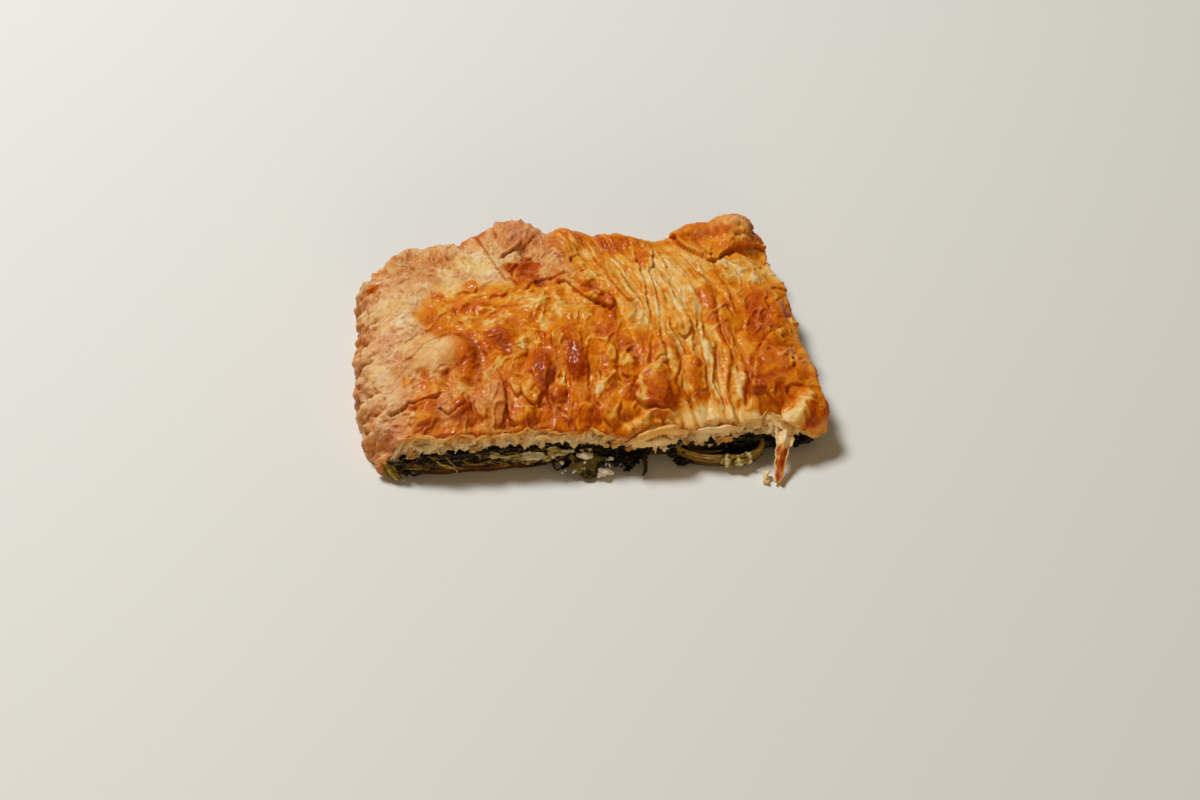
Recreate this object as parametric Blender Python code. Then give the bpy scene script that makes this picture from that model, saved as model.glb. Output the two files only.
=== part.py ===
"""A cut piece of spanakopita: a puffed top crust, a spinach and cheese filling, a bottom crust.

The piece lies flat with its length along X. The front (-Y) and the right end (+X) are cut, so
the filling shows there. The left end and the rear are baked edges, where the top crust wraps
down around the bottom one. All sizes are in millimetres and become metres when a mesh is made.
"""

import math

import bmesh
import bpy
import numpy as np

MM = 0.001

# The outline of the piece, and how its corners round off (a superellipse's power)
HALF_LENGTH = 76.0
HALF_WIDTH = 52.5
CORNER_POWER = 8.0
PLAN_CENTRE = (0.5, -5.75)

# Where the outline turns from baked to cut, as shares of the half length and half width
CUT_FROM = 0.9
CUT_BLEND = 0.1
FRONT_START = 0.11
RIGHT_START = 0.16

# The top crust's dome, and where its sides begin to fall
DOME_RIM = 13.5
DOME_RISE = 11.5
DOME_REACH_X = 80.0
DOME_REACH_FRONT = 54.0
DOME_REACH_REAR = 62.0
DOME_POWERS = (2.4, 2.2)
LEFT_INSET = 13.0
REAR_INSET = 9.0
CUT_INSET = 6.0
BAKED_LIP = 0.6
CORNER_SAG = 4.5
CORNER_SAG_PLACE = (0.97, -1.0)
CORNER_SAG_REACH = 0.055
BAKED_RADIUS = 11.0
CUT_RADIUS = 3.2

# How high the cut lip is, by place along the length
LIP_PLACES = (-76, -62, -45, -30, -16, -4, 8, 20, 31, 38, 44, 50, 55, 60, 68, 76)
LIP_LEVELS = (8.6, 8.4, 8.6, 9.0, 9.4, 8.8, 8.4, 7.3, 7.1, 7.6, 9.5, 9.7, 8.8, 7.6, 7.8, 9.2)

# How far the front lip lies behind the outline, by place along the length
SWAY_PLACES = (-76, -62, -45, -16, 17, 47, 76)
SWAY_AMOUNTS = (0.0, 2.4, 3.4, 1.4, -1.6, -0.6, 0.0)

# The layers under it
LIP_WALL = 2.4
CUT_LIP_WALL = 1.4
LIP_RISE = 0.6
CEILING = 12.0
CEILING_INSET = 12.0
BOTTOM_CRUST = 2.3
LAYER_GAP = 0.4
FILLING_TOP = 11.6

# The bottom crust's edge: how far inside the outline it is where baked, where cut on the left
# of the front and where cut elsewhere, its lower chamfer and its ripple
BASE_INSETS = (3.1, 0.5, 1.7)
BASE_CHANGE = (-24.0, 8.0)
BASE_CHAMFER = (0.5, 0.6)
BASE_RIPPLE = (0.35, 31.0)

# The filling's sides: inset where cut and where baked, how it tapers under the baked edges, the
# size of its lumps, and its shoulder's and top's insets where baked and how far the cut moves them
FILLING_CUT_INSET = (0.9, 0.5)
FILLING_BAKED_INSET = (3.4, 9.2)
FILLING_TAPER = 0.6
FILLING_LUMP = 0.6
FILLING_LUMP_WAVES = ((37.0, 0.0, 3.0), (19.0, 23.0, 5.0))
FILLING_LEAST = 0.3
FILLING_SHOULDER = (10.6, 5.4, 10.0)
FILLING_TOP_INSET = 12.8

# How finely the solids are divided
TOP_COLUMNS = 64
TOP_ROWS = 46
BAKED_TOP_SHARE = 0.74
CUT_TOP_SHARE = 0.86
FILLING_SIDES = 150
CUT_FACE_LEVELS = 4
BOTTOM_SIDES = 150

# Pushes that shape the outline: centre, movement and reach
PUSHES = (
    ((-68, 47), (3.2, -1.8), 12),
    ((-76, 22), (2.6, 0.0), 16),
    ((-72, -46), (0.4, -0.4), 11),
    ((-18, 54), (0.0, 3.0), 8),
    ((27, 52), (0.0, -7.0), 11),
    ((76, 32), (-1.2, 0.0), 13),
    ((71, -50), (5.0, -3.0), 9),
)

# Lumps and hollows of the top: centre, half length, half width, turn in degrees, height
LUMPS = (
    ((-47, -16), 13, 9, 6, 3.2),
    ((-54, -41), 5, 6, 0, 1.6),
    ((-44, -41), 4, 6, 8, 1.8),
    ((-34, -38), 4.5, 8, -8, 2.2),
    ((-24, -45), 4, 4, 0, 1.5),
    ((-15, -28), 4, 7, -5, 2.2),
    ((-7, -15), 6, 6, 0, 2.0),
    ((-3, -27), 4, 6, 0, 1.4),
    ((-27, -11), 5, 5, 0, 1.4),
    ((7, -29), 3, 8, -8, 1.8),
    ((13, -31), 3, 5, 0, 1.8),
    ((26, -25), 4, 5, 0, 2.2),
    ((24, -39), 6, 7, 0, 2.6),
    ((6, -45), 5, 4, 0, 1.8),
    ((-4, -44), 4, 4, 0, 1.5),
    ((35, -11), 3.5, 5, 0, 1.6),
    ((36, -32), 4, 6, 0, 1.8),
    ((47, 4), 6, 8, 0, 1.6),
    ((66, 3), 7, 9, 0, 3.2),
    ((65, -31), 10, 11, 0, 3.0),
    ((57, -50), 4.5, 4, 0, -4.5),
    ((72, -50), 4, 5, 0, 1.8),
    ((-17, 46), 10, 8, 0, 5.8),
    ((-30, 50), 5, 5, 0, 2.0),
    ((1, 40), 6, 13, -20, 4.2),
    ((-13, 29), 4, 9, -25, -1.6),
    ((20, 44), 10, 8, 0, 3.4),
    ((50, 49), 8, 6, -20, 4.0),
    ((63, 45), 8, 9, 0, 8.2),
    ((-73, 28), 4, 5, 0, 2.4),
    ((-76, -3), 5, 12, 0, 2.0),
    ((-76, -33), 4, 6, 0, 2.2),
    ((-60, 44), 7, 4, 35, 2.0),
    ((-44, 52), 6, 4, 10, 2.0),
    ((-76, -50), 4, 3, 0, 2.4),
)

# Lapped folds of the top, each with the upper sheet on the left of its run:
# start, middle, end, height, reach of the upper side, reach of the drop, depth of the crease
FOLDS = (
    ((-10, 44), (-15, 33), (-19, 14), 2.0, 5.0, 1.6, 1.0),
    ((-19, 14), (-8, 18), (2, 21), 2.6, 4.5, 1.4, 1.6),
    ((1, 19), (5, 6), (18, -13), 2.2, 4.0, 1.6, 1.2),
    ((-46, -3), (-54, -10), (-62, -15), 1.2, 4.0, 1.6, 1.4),
    ((-39, -31), (-33, -18), (-38, -4), 1.6, 4.0, 1.6, 1.8),
    ((-71, -40), (-60, -31), (-47, -31), 1.8, 5.0, 1.6, 1.6),
    ((-52, -31), (-48, -25), (-41, -24), 1.0, 2.2, 1.4, 0.6),
    ((74, -9), (62, -15), (57, -27), 2.0, 4.5, 1.6, 2.2),
    ((57, -26), (54, -34), (53, -43), 2.0, 4.5, 1.6, 1.8),
    ((42, 46), (50, 33), (60, 35), 2.6, 5.0, 1.6, 2.0),
    ((58, 35), (67, 39), (76, 36), 2.6, 5.0, 1.6, 1.8),
    ((27, 16), (32, 32), (30, 47), 2.2, 5.0, 1.6, 1.8),
    ((12, 21), (12, 38), (4, 52), 1.6, 4.0, 1.6, 1.4),
    ((-9, 42), (-6, 52), (-8, 62), 2.6, 6.0, 1.4, 1.6),
    ((26, -49), (17, -45), (8, -54), 2.2, 3.0, 1.6, 1.2),
    ((46, -53), (36, -50), (26, -50), 1.4, 2.6, 1.6, 0.8),
    ((-6, -51), (-14, -48), (-22, -51), 1.4, 2.6, 1.6, 0.8),
    ((52, -43), (60, -41), (67, -46), 2.6, 4.0, 1.6, 2.0),
)
FOLD_STEPS = 24
FOLD_FADE = 3.0
FOLD_END_SHARE = 0.08
FOLD_TROUGH = 1.3

# Pleats that run from the rear to the front over the right half
PLEAT_PITCH = 4.6
PLEAT_HEIGHT = 1.9
PLEAT_BEND = 11.0
PLEAT_BEND_FROM = (-12.0, 55.0)
PLEAT_BEND_SIDE = (32.0, 14.0)
PLEAT_LEFT = (14.0, 7.0)
PLEAT_RIGHT = (58.0, 8.0)
PLEAT_REAR = (44.0, 12.0)
PLEAT_CALM = ((24.0, -38.0), (8.0, 9.0), 0.8)
PLEAT_LEVEL = 0.6

# Puffed cells between the pleats and the smooth left part
CELL_PITCH = (8.5, 8.0)
CELL_SPAN = ((-42.0, 24.0), (-46.0, 20.0))
CELL_SCATTER = (3.2, 3.0)
CELL_HEIGHT = 1.7
CELL_LEVEL = 0.6
CELL_GROOVE = 1.6
CELL_LEFT = (-40.0, 8.0)
CELL_RIGHT = (24.0, 10.0)
CELL_REAR = (20.0, 9.0)
CELL_SEED = 21

# Ruffles of the cut edge, and the broad and fine unevenness of baked sheets
RUFFLE_PITCH = 6.4
RUFFLE_HEIGHT = 1.1
RUFFLE_FROM = (-47.0, 5.0)
LIP_RELIEF = (-0.6, 1.8)
LIP_FROM = 0.7
SWELL = (0.9, 21.0, 11)
CRINKLE = (0.75, 8.5, 12)
WAVES = 9

# Knobs along the baked left edge: pitch, height, level, and where they begin
KNOB_PITCH = 12.0
KNOB_HEIGHT = 1.5
KNOB_LEVEL = 0.6
KNOB_FROM = (-66.0, 6.0)

# Torn flake that hangs from the front: its run (x, y, z), half width and thickness, how much it
# narrows and ripples, and its folds
FLAKE_RUN = ((62.6, -50.5, 11.0), (61.6, -58.2, 10.4), (59.4, -61.8, 4.4), (57.0, -69.2, 1.9))
FLAKE_HALF_WIDTH = 2.9
FLAKE_THICKNESS = 1.4
FLAKE_GRID = (6, 12)
FLAKE_TAPER = 0.35
FLAKE_RIPPLE = (0.12, 9.0)
FLAKE_FOLD = (0.5, 2.4, 5.0)

# Lumps of the filling that stand out of the front cut: centre, radii
CHEESE_LUMPS = (
    ((-11.0, -54.0, 4.8), (2.8, 3.2, 1.7)),
    ((-5.5, -58.2, 2.0), (2.8, 2.2, 1.5)),
    ((4.6, -57.2, 4.2), (3.0, 2.6, 1.6)),
    ((8.6, -57.0, 2.2), (2.4, 2.8, 1.6)),
    ((-26.0, -51.8, 5.4), (4.2, 2.0, 1.5)),
    ((48.5, -56.8, 4.6), (4.8, 2.8, 1.8)),
    ((74.6, -20.0, 5.2), (2.6, 3.2, 1.5)),
    ((74.6, 14.0, 5.0), (2.6, 2.8, 1.5)),
)
SPINACH_LUMPS = (
    ((-0.8, -55.0, 4.4), (9.0, 5.2, 2.7)),
    ((1.0, -57.6, 2.6), (5.6, 3.2, 2.0)),
    ((14.0, -53.6, 5.0), (6.0, 3.4, 2.0)),
    ((23.0, -52.6, 5.2), (5.0, 3.0, 1.8)),
    ((-38.0, -51.6, 5.4), (6.5, 2.4, 1.8)),
    ((-54.0, -51.6, 5.2), (6.0, 2.2, 1.7)),
    ((48.0, -53.0, 5.2), (7.0, 3.6, 1.9)),
    ((63.0, -52.4, 5.4), (5.0, 2.8, 1.6)),
    ((74.4, -36.0, 5.1), (2.8, 5.0, 1.7)),
    ((74.6, -4.0, 5.2), (2.6, 5.5, 1.7)),
    ((72.8, 29.0, 5.0), (2.6, 4.0, 1.5)),
)

# Stems and strands of the filling: points of their run, radius
STRANDS = (
    (((24.5, -49.6, 4.6), (28.0, -54.4, 3.6), (34.0, -57.2, 2.6), (41.5, -58.4, 2.6),
      (48.5, -58.6, 2.6), (53.4, -56.2, 3.2), (54.6, -52.4, 4.6), (51.5, -48.8, 5.2)), 1.8),
    (((13.0, -51.0, 4.6), (15.0, -55.2, 3.8), (15.0, -59.2, 1.8), (13.6, -61.2, 1.2)), 0.8),
    (((-60.0, -49.0, 5.4), (-63.5, -54.4, 4.6), (-66.6, -56.4, 1.2)), 0.8),
    (((-46.0, -49.5, 5.6), (-41.0, -53.6, 5.0), (-33.0, -51.0, 4.4)), 0.7),
)
STRAND_STEPS = 4
STRAND_WELD = 0.02
LUMP_DETAIL = 2
LUMP_DENTS = (0.1, 1.3)
LUMP_OVERHANG = -52.2
FLOOR_GAP = 0.4
CHEESE_SEED = 40
SPINACH_SEED = 60

COLOURS = {
    "top_crust": (0.68, 0.32, 0.10),
    "filling": (0.05, 0.07, 0.03),
    "bottom_crust": (0.55, 0.33, 0.15),
}
ROUGHNESS = {
    "top_crust": 0.45,
    "filling": 0.35,
    "bottom_crust": 0.6,
}


def smooth(value):
    """Rise from 0 to 1 with level ends."""
    value = np.clip(value, 0.0, 1.0)
    return value * value * (3.0 - 2.0 * value)


def waves(x, y, height, length, seed):
    """Even unevenness: a few sine waves of about one length in seeded directions."""
    draw = np.random.default_rng(seed)
    total = np.zeros_like(x)
    for _ in range(WAVES):
        angle = draw.uniform(0.0, 2.0 * math.pi)
        pitch = length * draw.uniform(0.7, 1.4)
        phase = draw.uniform(0.0, 2.0 * math.pi)
        run = x * math.cos(angle) + y * math.sin(angle)
        total += np.sin(2.0 * math.pi * run / pitch + phase)
    return total * height / math.sqrt(WAVES / 2.0)


def cut_share(s, t):
    """1 on the cut front and right end, 0 on the baked left end and rear."""
    front = smooth((1.0 + s) / FRONT_START) * smooth((-t - CUT_FROM) / CUT_BLEND)
    right = smooth((s - CUT_FROM) / CUT_BLEND) * smooth((1.0 - t) / RIGHT_START)
    return np.maximum(front, right)


def rim_points(s, t):
    """The outline and the start of the sides, for directions on the unit square."""
    round_off = (np.abs(s) ** CORNER_POWER + np.abs(t) ** CORNER_POWER) ** (1.0 / CORNER_POWER)
    inset_x = np.where(s < 0.0, LEFT_INSET, CUT_INSET)
    inset_y = np.where(t > 0.0, REAR_INSET, CUT_INSET)
    outer = np.stack([HALF_LENGTH * s, HALF_WIDTH * t], axis=-1) / round_off[..., None]
    inner_sizes = np.stack([(HALF_LENGTH - inset_x) * s, (HALF_WIDTH - inset_y) * t], axis=-1)
    return outer, inner_sizes / round_off[..., None]


def inset_points(s, t, inset):
    """Points that lie the given distance inside the outline."""
    outer, inner = rim_points(s, t)
    inward = inner - outer
    inward /= np.linalg.norm(inward, axis=-1, keepdims=True)
    return outer + inward * np.broadcast_to(inset, s.shape)[..., None]


def lip_recess(s, t):
    """How far the front lip sways back from the outline, or forward where negative."""
    return np.interp(HALF_LENGTH * s, SWAY_PLACES, SWAY_AMOUNTS) * smooth((-t - CUT_FROM) / CUT_BLEND)


def cut_lip(x):
    """The height of the cut lip, read off its table."""
    return np.interp(x, LIP_PLACES, LIP_LEVELS)


def lip_height(s, t):
    """How high the top crust's lower edge is: low where it wraps, high where it is cut."""
    share = cut_share(s, t)
    gap = (s - CORNER_SAG_PLACE[0]) ** 2 + (t - CORNER_SAG_PLACE[1]) ** 2
    corner = np.exp(-gap / (2.0 * CORNER_SAG_REACH ** 2))
    return BAKED_LIP + (cut_lip(HALF_LENGTH * s) - BAKED_LIP) * share - CORNER_SAG * share * corner


def dome(x, y):
    """The smooth height of the top, a flat-topped dome."""
    reach_y = np.where(y > 0.0, DOME_REACH_REAR, DOME_REACH_FRONT)
    fall_x = np.clip(1.0 - np.abs(x / DOME_REACH_X) ** DOME_POWERS[0], 0.0, 1.0)
    fall_y = np.clip(1.0 - np.abs(y / reach_y) ** DOME_POWERS[1], 0.0, 1.0)
    return DOME_RIM + DOME_RISE * fall_x * fall_y


def shoulder(share, run, drop, radius):
    """A level stretch, a rounded shoulder and a straight fall, by share of their length."""
    level = run - radius
    arc = 0.5 * math.pi * radius
    walked = share * (level + arc + drop - radius)
    turn = np.clip((walked - level) / radius, 0.0, 0.5 * math.pi)
    out = np.minimum(walked, level) + radius * np.sin(turn)
    down = radius * (1.0 - np.cos(turn)) + np.maximum(walked - level - arc, 0.0)
    return out, down, walked


def skin(s, t):
    """The plain skin of the top crust and the place of each point on the flat sheet."""
    reach = np.maximum(np.abs(s), np.abs(t))
    at_middle = reach < 1e-6
    s_rim = np.where(at_middle, 1.0, s / np.maximum(reach, 1e-6))
    t_rim = np.where(at_middle, 0.0, t / np.maximum(reach, 1e-6))
    outer, inner = rim_points(s_rim, t_rim)
    cut = cut_share(s_rim, t_rim)
    top_share = BAKED_TOP_SHARE + (CUT_TOP_SHARE - BAKED_TOP_SHARE) * cut
    on_top = np.minimum(reach / top_share, 1.0)[..., None]
    on_side = np.clip((reach - top_share) / (1.0 - top_share), 0.0, 1.0)
    span = outer - inner
    run = np.linalg.norm(span, axis=-1)
    outward = span / run[..., None]
    run = run - lip_recess(s_rim, t_rim)
    drop = dome(outer[..., 0], outer[..., 1]) - lip_height(s_rim, t_rim)
    radius = BAKED_RADIUS + (CUT_RADIUS - BAKED_RADIUS) * cut
    out, down, walked = shoulder(on_side, run, drop, np.minimum(radius, 0.95 * np.minimum(run, drop)))
    plan = inner * on_top + outward * out[..., None]
    sheet = inner * on_top + outward * walked[..., None]
    height = dome(plan[..., 0], plan[..., 1]) - down
    return np.concatenate([plan, height[..., None]], axis=-1), sheet, on_side, cut


def lump_relief(x, y):
    """Rounded lumps and hollows."""
    total = np.zeros_like(x)
    for (cx, cy), half_length, half_width, turn, height in LUMPS:
        angle = math.radians(turn)
        along = (x - cx) * math.cos(angle) + (y - cy) * math.sin(angle)
        across = (y - cy) * math.cos(angle) - (x - cx) * math.sin(angle)
        total += height * np.exp(-(((along / half_length) ** 2 + (across / half_width) ** 2) ** 1.3))
    return total


def fold_relief(x, y):
    """Lapped folds: a crest that eases off on its left and drops into a crease on its right."""
    total = np.zeros_like(x)
    steps = np.linspace(0.0, 1.0, FOLD_STEPS)
    for start, middle, end, height, ease, drop, crease in FOLDS:
        ends = np.outer((1.0 - steps) ** 2, start) + np.outer(steps ** 2, end)
        run = ends + np.outer(2.0 * steps * (1.0 - steps), middle)
        heading = np.gradient(run, axis=0)
        heading /= np.linalg.norm(heading, axis=1, keepdims=True)
        gap_x = x[..., None] - run[:, 0]
        gap_y = y[..., None] - run[:, 1]
        near = np.argmin(gap_x ** 2 + gap_y ** 2, axis=-1)
        dx = x - run[near, 0]
        dy = y - run[near, 1]
        left = heading[near, 0] * dy - heading[near, 1] * dx
        past = heading[near, 0] * dx + heading[near, 1] * dy
        place = np.clip(steps[near], FOLD_END_SHARE, 1.0 - FOLD_END_SHARE)
        fade = np.sin(math.pi * place) ** 0.6
        fade *= np.exp(-(past / FOLD_FADE) ** 2)
        crest = np.exp(-(left / np.where(left > 0.0, ease, drop)) ** 2)
        trough = np.exp(-((left + FOLD_TROUGH * drop) / drop) ** 2)
        total += fade * (height * crest - crease * trough)
    return total


def rising(value, start_and_span):
    """1 well past the start and 0 before it, with a smooth change over the span."""
    start, span = start_and_span
    return smooth((value - start) / span)


def falling(value, end_and_span):
    """0 past the end and 1 well before it, with a smooth change over the span."""
    end, span = end_and_span
    return smooth((end - value) / span)


def pleat_relief(x, y):
    """Pleats with round backs and narrow grooves, which bend to the left at the rear."""
    lean = PLEAT_BEND * rising(y, PLEAT_BEND_FROM) * falling(x, PLEAT_BEND_SIDE)
    place = x + lean + 1.1 * np.sin(0.55 * x + 0.11 * y) + 0.9 * np.sin(0.13 * y + 0.2 * x)
    backs = np.abs(np.sin(math.pi * place / PLEAT_PITCH)) ** 0.8
    region = rising(x + lean, PLEAT_LEFT) * falling(x, PLEAT_RIGHT) * falling(y, PLEAT_REAR)
    (calm_x, calm_y), (reach_x, reach_y), amount = PLEAT_CALM
    calm = np.exp(-(((x - calm_x) / reach_x) ** 2 + ((y - calm_y) / reach_y) ** 2))
    return PLEAT_HEIGHT * (backs - PLEAT_LEVEL) * region * (1.0 - amount * calm)


def cell_relief(x, y):
    """Puffed cells with sunken seams over the middle of the piece."""
    draw = np.random.default_rng(CELL_SEED)
    columns = np.arange(*CELL_SPAN[0], CELL_PITCH[0])
    rows = np.arange(*CELL_SPAN[1], CELL_PITCH[1])
    centre_x, centre_y = np.meshgrid(columns, rows)
    centre_x = (centre_x + draw.uniform(-CELL_SCATTER[0], CELL_SCATTER[0], centre_x.shape)).ravel()
    centre_y = (centre_y + draw.uniform(-CELL_SCATTER[1], CELL_SCATTER[1], centre_y.shape)).ravel()
    gaps = np.sqrt((x[..., None] - centre_x) ** 2 + (y[..., None] - centre_y) ** 2)
    nearest = np.partition(gaps, 1, axis=-1)
    puff = 1.0 - np.exp(-((nearest[..., 1] - nearest[..., 0]) / CELL_GROOVE))
    region = rising(x, CELL_LEFT) * falling(x, CELL_RIGHT) * falling(y, CELL_REAR)
    return CELL_HEIGHT * (puff - CELL_LEVEL) * region


def relief(x, y, on_side, cut):
    """All unevenness of the top crust, by the place on the flat sheet."""
    total = lump_relief(x, y) + fold_relief(x, y) + pleat_relief(x, y) + cell_relief(x, y)
    total += waves(x, y, *SWELL) + waves(x, y, *CRINKLE)
    ruffle = np.abs(np.sin(math.pi * (x + 1.4 * np.sin(0.31 * x)) / RUFFLE_PITCH))
    total += RUFFLE_HEIGHT * (ruffle - 0.5) * falling(y, RUFFLE_FROM)
    knobs = np.abs(np.sin(math.pi * (y + 1.7 * np.sin(0.2 * y)) / KNOB_PITCH)) ** 0.7
    total += KNOB_HEIGHT * (knobs - KNOB_LEVEL) * falling(x, KNOB_FROM) * (1.0 - cut)
    at_lip = smooth((on_side - LIP_FROM) / (1.0 - LIP_FROM))
    return total * (1.0 - at_lip) + np.clip(total, *LIP_RELIEF) * at_lip


def grid_normals(points):
    """The outward direction at every point of a grid of points."""
    normals = np.cross(np.gradient(points, axis=1), np.gradient(points, axis=0))
    return normals / np.maximum(np.linalg.norm(normals, axis=-1, keepdims=True), 1e-12)


def pushed(points):
    """Move points in plan by the pushes that shape the outline, each fading as a bell curve."""
    moved = points.copy()
    for (cx, cy), (step_x, step_y), reach in PUSHES:
        near = np.exp(-((points[..., 0] - cx) ** 2 + (points[..., 1] - cy) ** 2) / (2.0 * reach ** 2))
        moved[..., 0] += step_x * near
        moved[..., 1] += step_y * near
    return moved


def placed(points):
    """Millimetres about the piece's middle, as metres about the middle of its plan."""
    shifted = np.array(points, dtype=float)
    shifted[..., 0] -= PLAN_CENTRE[0]
    shifted[..., 1] -= PLAN_CENTRE[1]
    return shifted * MM


def ring_place(s, t, inset, height):
    """A ring of points inside the outline at one or more heights, in the pushed plan."""
    plan = inset_points(s, t, inset)
    level = np.broadcast_to(height, s.shape)[..., None]
    return pushed(np.concatenate([plan, level], axis=-1))


def square_direction(turns):
    """Evenly spaced places round the piece's outline, as directions on the unit square."""
    ratio = HALF_LENGTH / HALF_WIDTH
    walk = np.mod(turns, 1.0) * (4.0 + 4.0 * ratio)
    s = np.select(
        [walk < 2.0, walk < 2.0 + 2.0 * ratio, walk < 4.0 + 2.0 * ratio],
        [np.ones_like(walk), 1.0 - (walk - 2.0) / ratio, -np.ones_like(walk)],
        -1.0 + (walk - 4.0 - 2.0 * ratio) / ratio,
    )
    t = np.select(
        [walk < 2.0, walk < 2.0 + 2.0 * ratio, walk < 4.0 + 2.0 * ratio],
        [walk - 1.0, np.ones_like(walk), 1.0 - (walk - 2.0 - 2.0 * ratio)],
        -np.ones_like(walk),
    )
    return s, t


def finish_mesh(bm, name, collection):
    """Close, turn outwards, triangulate and link a mesh as one object with its material."""
    bmesh.ops.recalc_face_normals(bm, faces=bm.faces[:])
    bmesh.ops.triangulate(bm, faces=bm.faces[:])
    if bm.calc_volume(signed=True) < 0.0:
        bmesh.ops.reverse_faces(bm, faces=bm.faces[:])
    mesh = bpy.data.meshes.new(name)
    bm.to_mesh(mesh)
    bm.free()
    piece = bpy.data.objects.new(name, mesh)
    collection.objects.link(piece)
    return piece


def add_material(piece, roughness):
    """A plain baked or moist finish in the piece's own colour."""
    material = bpy.data.materials.new(piece.name)
    material.use_nodes = True
    shader = material.node_tree.nodes["Principled BSDF"]
    shader.inputs["Base Color"].default_value = (*COLOURS[piece.name], 1.0)
    shader.inputs["Roughness"].default_value = roughness
    shader.inputs["Metallic"].default_value = 0.0
    piece.data.materials.clear()
    piece.data.materials.append(material)


def add_rings(bm, edges, levels):
    """Extrude a loop of edges once for each level, marking each new loop by its Z."""
    for level in levels:
        grown = bmesh.ops.extrude_edge_only(bm, edges=edges)["geom"]
        for vert in (item for item in grown if isinstance(item, bmesh.types.BMVert)):
            vert.co.z = level
        edges = [item for item in grown if isinstance(item, bmesh.types.BMEdge)]
        edges = [edge for edge in edges if all(vert.co.z == level for vert in edge.verts)]
    return edges


def build_top_crust(collection):
    """The puffed crust: a displaced grid, with its rim turned under and closed by a ceiling."""
    bm = bmesh.new()
    bmesh.ops.create_grid(bm, x_segments=TOP_COLUMNS, y_segments=TOP_ROWS, size=1.0)
    rim = [edge for edge in bm.edges if edge.is_boundary]
    last = add_rings(bm, rim, (1.0, 2.0, 3.0))
    bmesh.ops.edgeloop_fill(bm, edges=last)
    verts = np.array([vert.co[:] for vert in bm.verts])
    level = np.round(verts[:, 2]).astype(int)
    places = np.zeros_like(verts)

    top = np.where(level == 0)[0]
    column = np.round((verts[top, 0] + 1.0) * 0.5 * TOP_COLUMNS).astype(int)
    row = np.round((verts[top, 1] + 1.0) * 0.5 * TOP_ROWS).astype(int)
    t, s = np.meshgrid(np.linspace(-1, 1, TOP_ROWS + 1), np.linspace(-1, 1, TOP_COLUMNS + 1), indexing="ij")
    points, sheet, on_side, cut = skin(s, t)
    height = relief(sheet[..., 0], sheet[..., 1], on_side, cut)
    points = points + grid_normals(points) * height[..., None]
    points[..., 2] = np.maximum(points[..., 2], FLOOR_GAP)
    places[top] = pushed(points)[row, column]

    rim_s = verts[:, 0]
    rim_t = verts[:, 1]
    for ring in (1, 2, 3):
        here = np.where(level == ring)[0]
        cut = cut_share(rim_s[here], rim_t[here])
        lip = lip_height(rim_s[here], rim_t[here])
        wall = LIP_WALL - (LIP_WALL - CUT_LIP_WALL) * cut + lip_recess(rim_s[here], rim_t[here])
        inset = (wall, wall + 0.2, np.full_like(lip, CEILING_INSET))[ring - 1]
        over_base = np.maximum(lip + LIP_RISE, BOTTOM_CRUST + 2.0 * LAYER_GAP)
        rise = (lip, over_base, np.full_like(lip, CEILING))[ring - 1]
        places[here] = ring_place(rim_s[here], rim_t[here], inset, rise)
    for vert, place in zip(bm.verts, placed(places)):
        vert.co = place
    return finish_mesh(bm, "top_crust", collection)


def build_layer(name, collection, sides, rings):
    """A closed stack of rings round the outline, each given as (inset, height) functions."""
    bm = bmesh.new()
    bmesh.ops.create_circle(bm, cap_ends=False, segments=sides, radius=1.0)
    first = bm.edges[:]
    last = add_rings(bm, first, [float(index) for index in range(1, len(rings))])
    bmesh.ops.edgeloop_fill(bm, edges=first)
    bmesh.ops.edgeloop_fill(bm, edges=last)
    verts = np.array([vert.co[:] for vert in bm.verts])
    turns = np.arctan2(verts[:, 1], verts[:, 0]) / (2.0 * math.pi)
    s, t = square_direction(turns)
    level = np.round(verts[:, 2]).astype(int)
    cut = smooth((cut_share(s, t) - 0.5) / 0.45)
    places = np.zeros_like(verts)
    for index, (inset, height) in enumerate(rings):
        here = level == index
        places[here] = ring_place(s[here], t[here], inset(s[here], t[here], cut[here]),
                                  height(s[here], t[here], cut[here]))
    for vert, place in zip(bm.verts, placed(places)):
        vert.co = place
    return finish_mesh(bm, name, collection)


def build_bottom_crust(collection):
    """The flat lower crust, inside the wrapped edge and behind the cut filling."""
    baked, cut_left, cut_right = BASE_INSETS
    ripple, pace = BASE_RIPPLE

    def edge(s, t, cut):
        cut_inset = cut_left + (cut_right - cut_left) * rising(HALF_LENGTH * s, BASE_CHANGE)
        return baked + (cut_inset - baked) * cut + ripple * np.sin(pace * (s + t)) * cut

    rings = (
        (lambda s, t, cut: edge(s, t, cut) + BASE_CHAMFER[0], lambda s, t, cut: 0.0),
        (lambda s, t, cut: edge(s, t, cut), lambda s, t, cut: BASE_CHAMFER[1]),
        (lambda s, t, cut: edge(s, t, cut) + 0.1, lambda s, t, cut: BOTTOM_CRUST),
    )
    return build_layer("bottom_crust", collection, BOTTOM_SIDES, rings)


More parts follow.
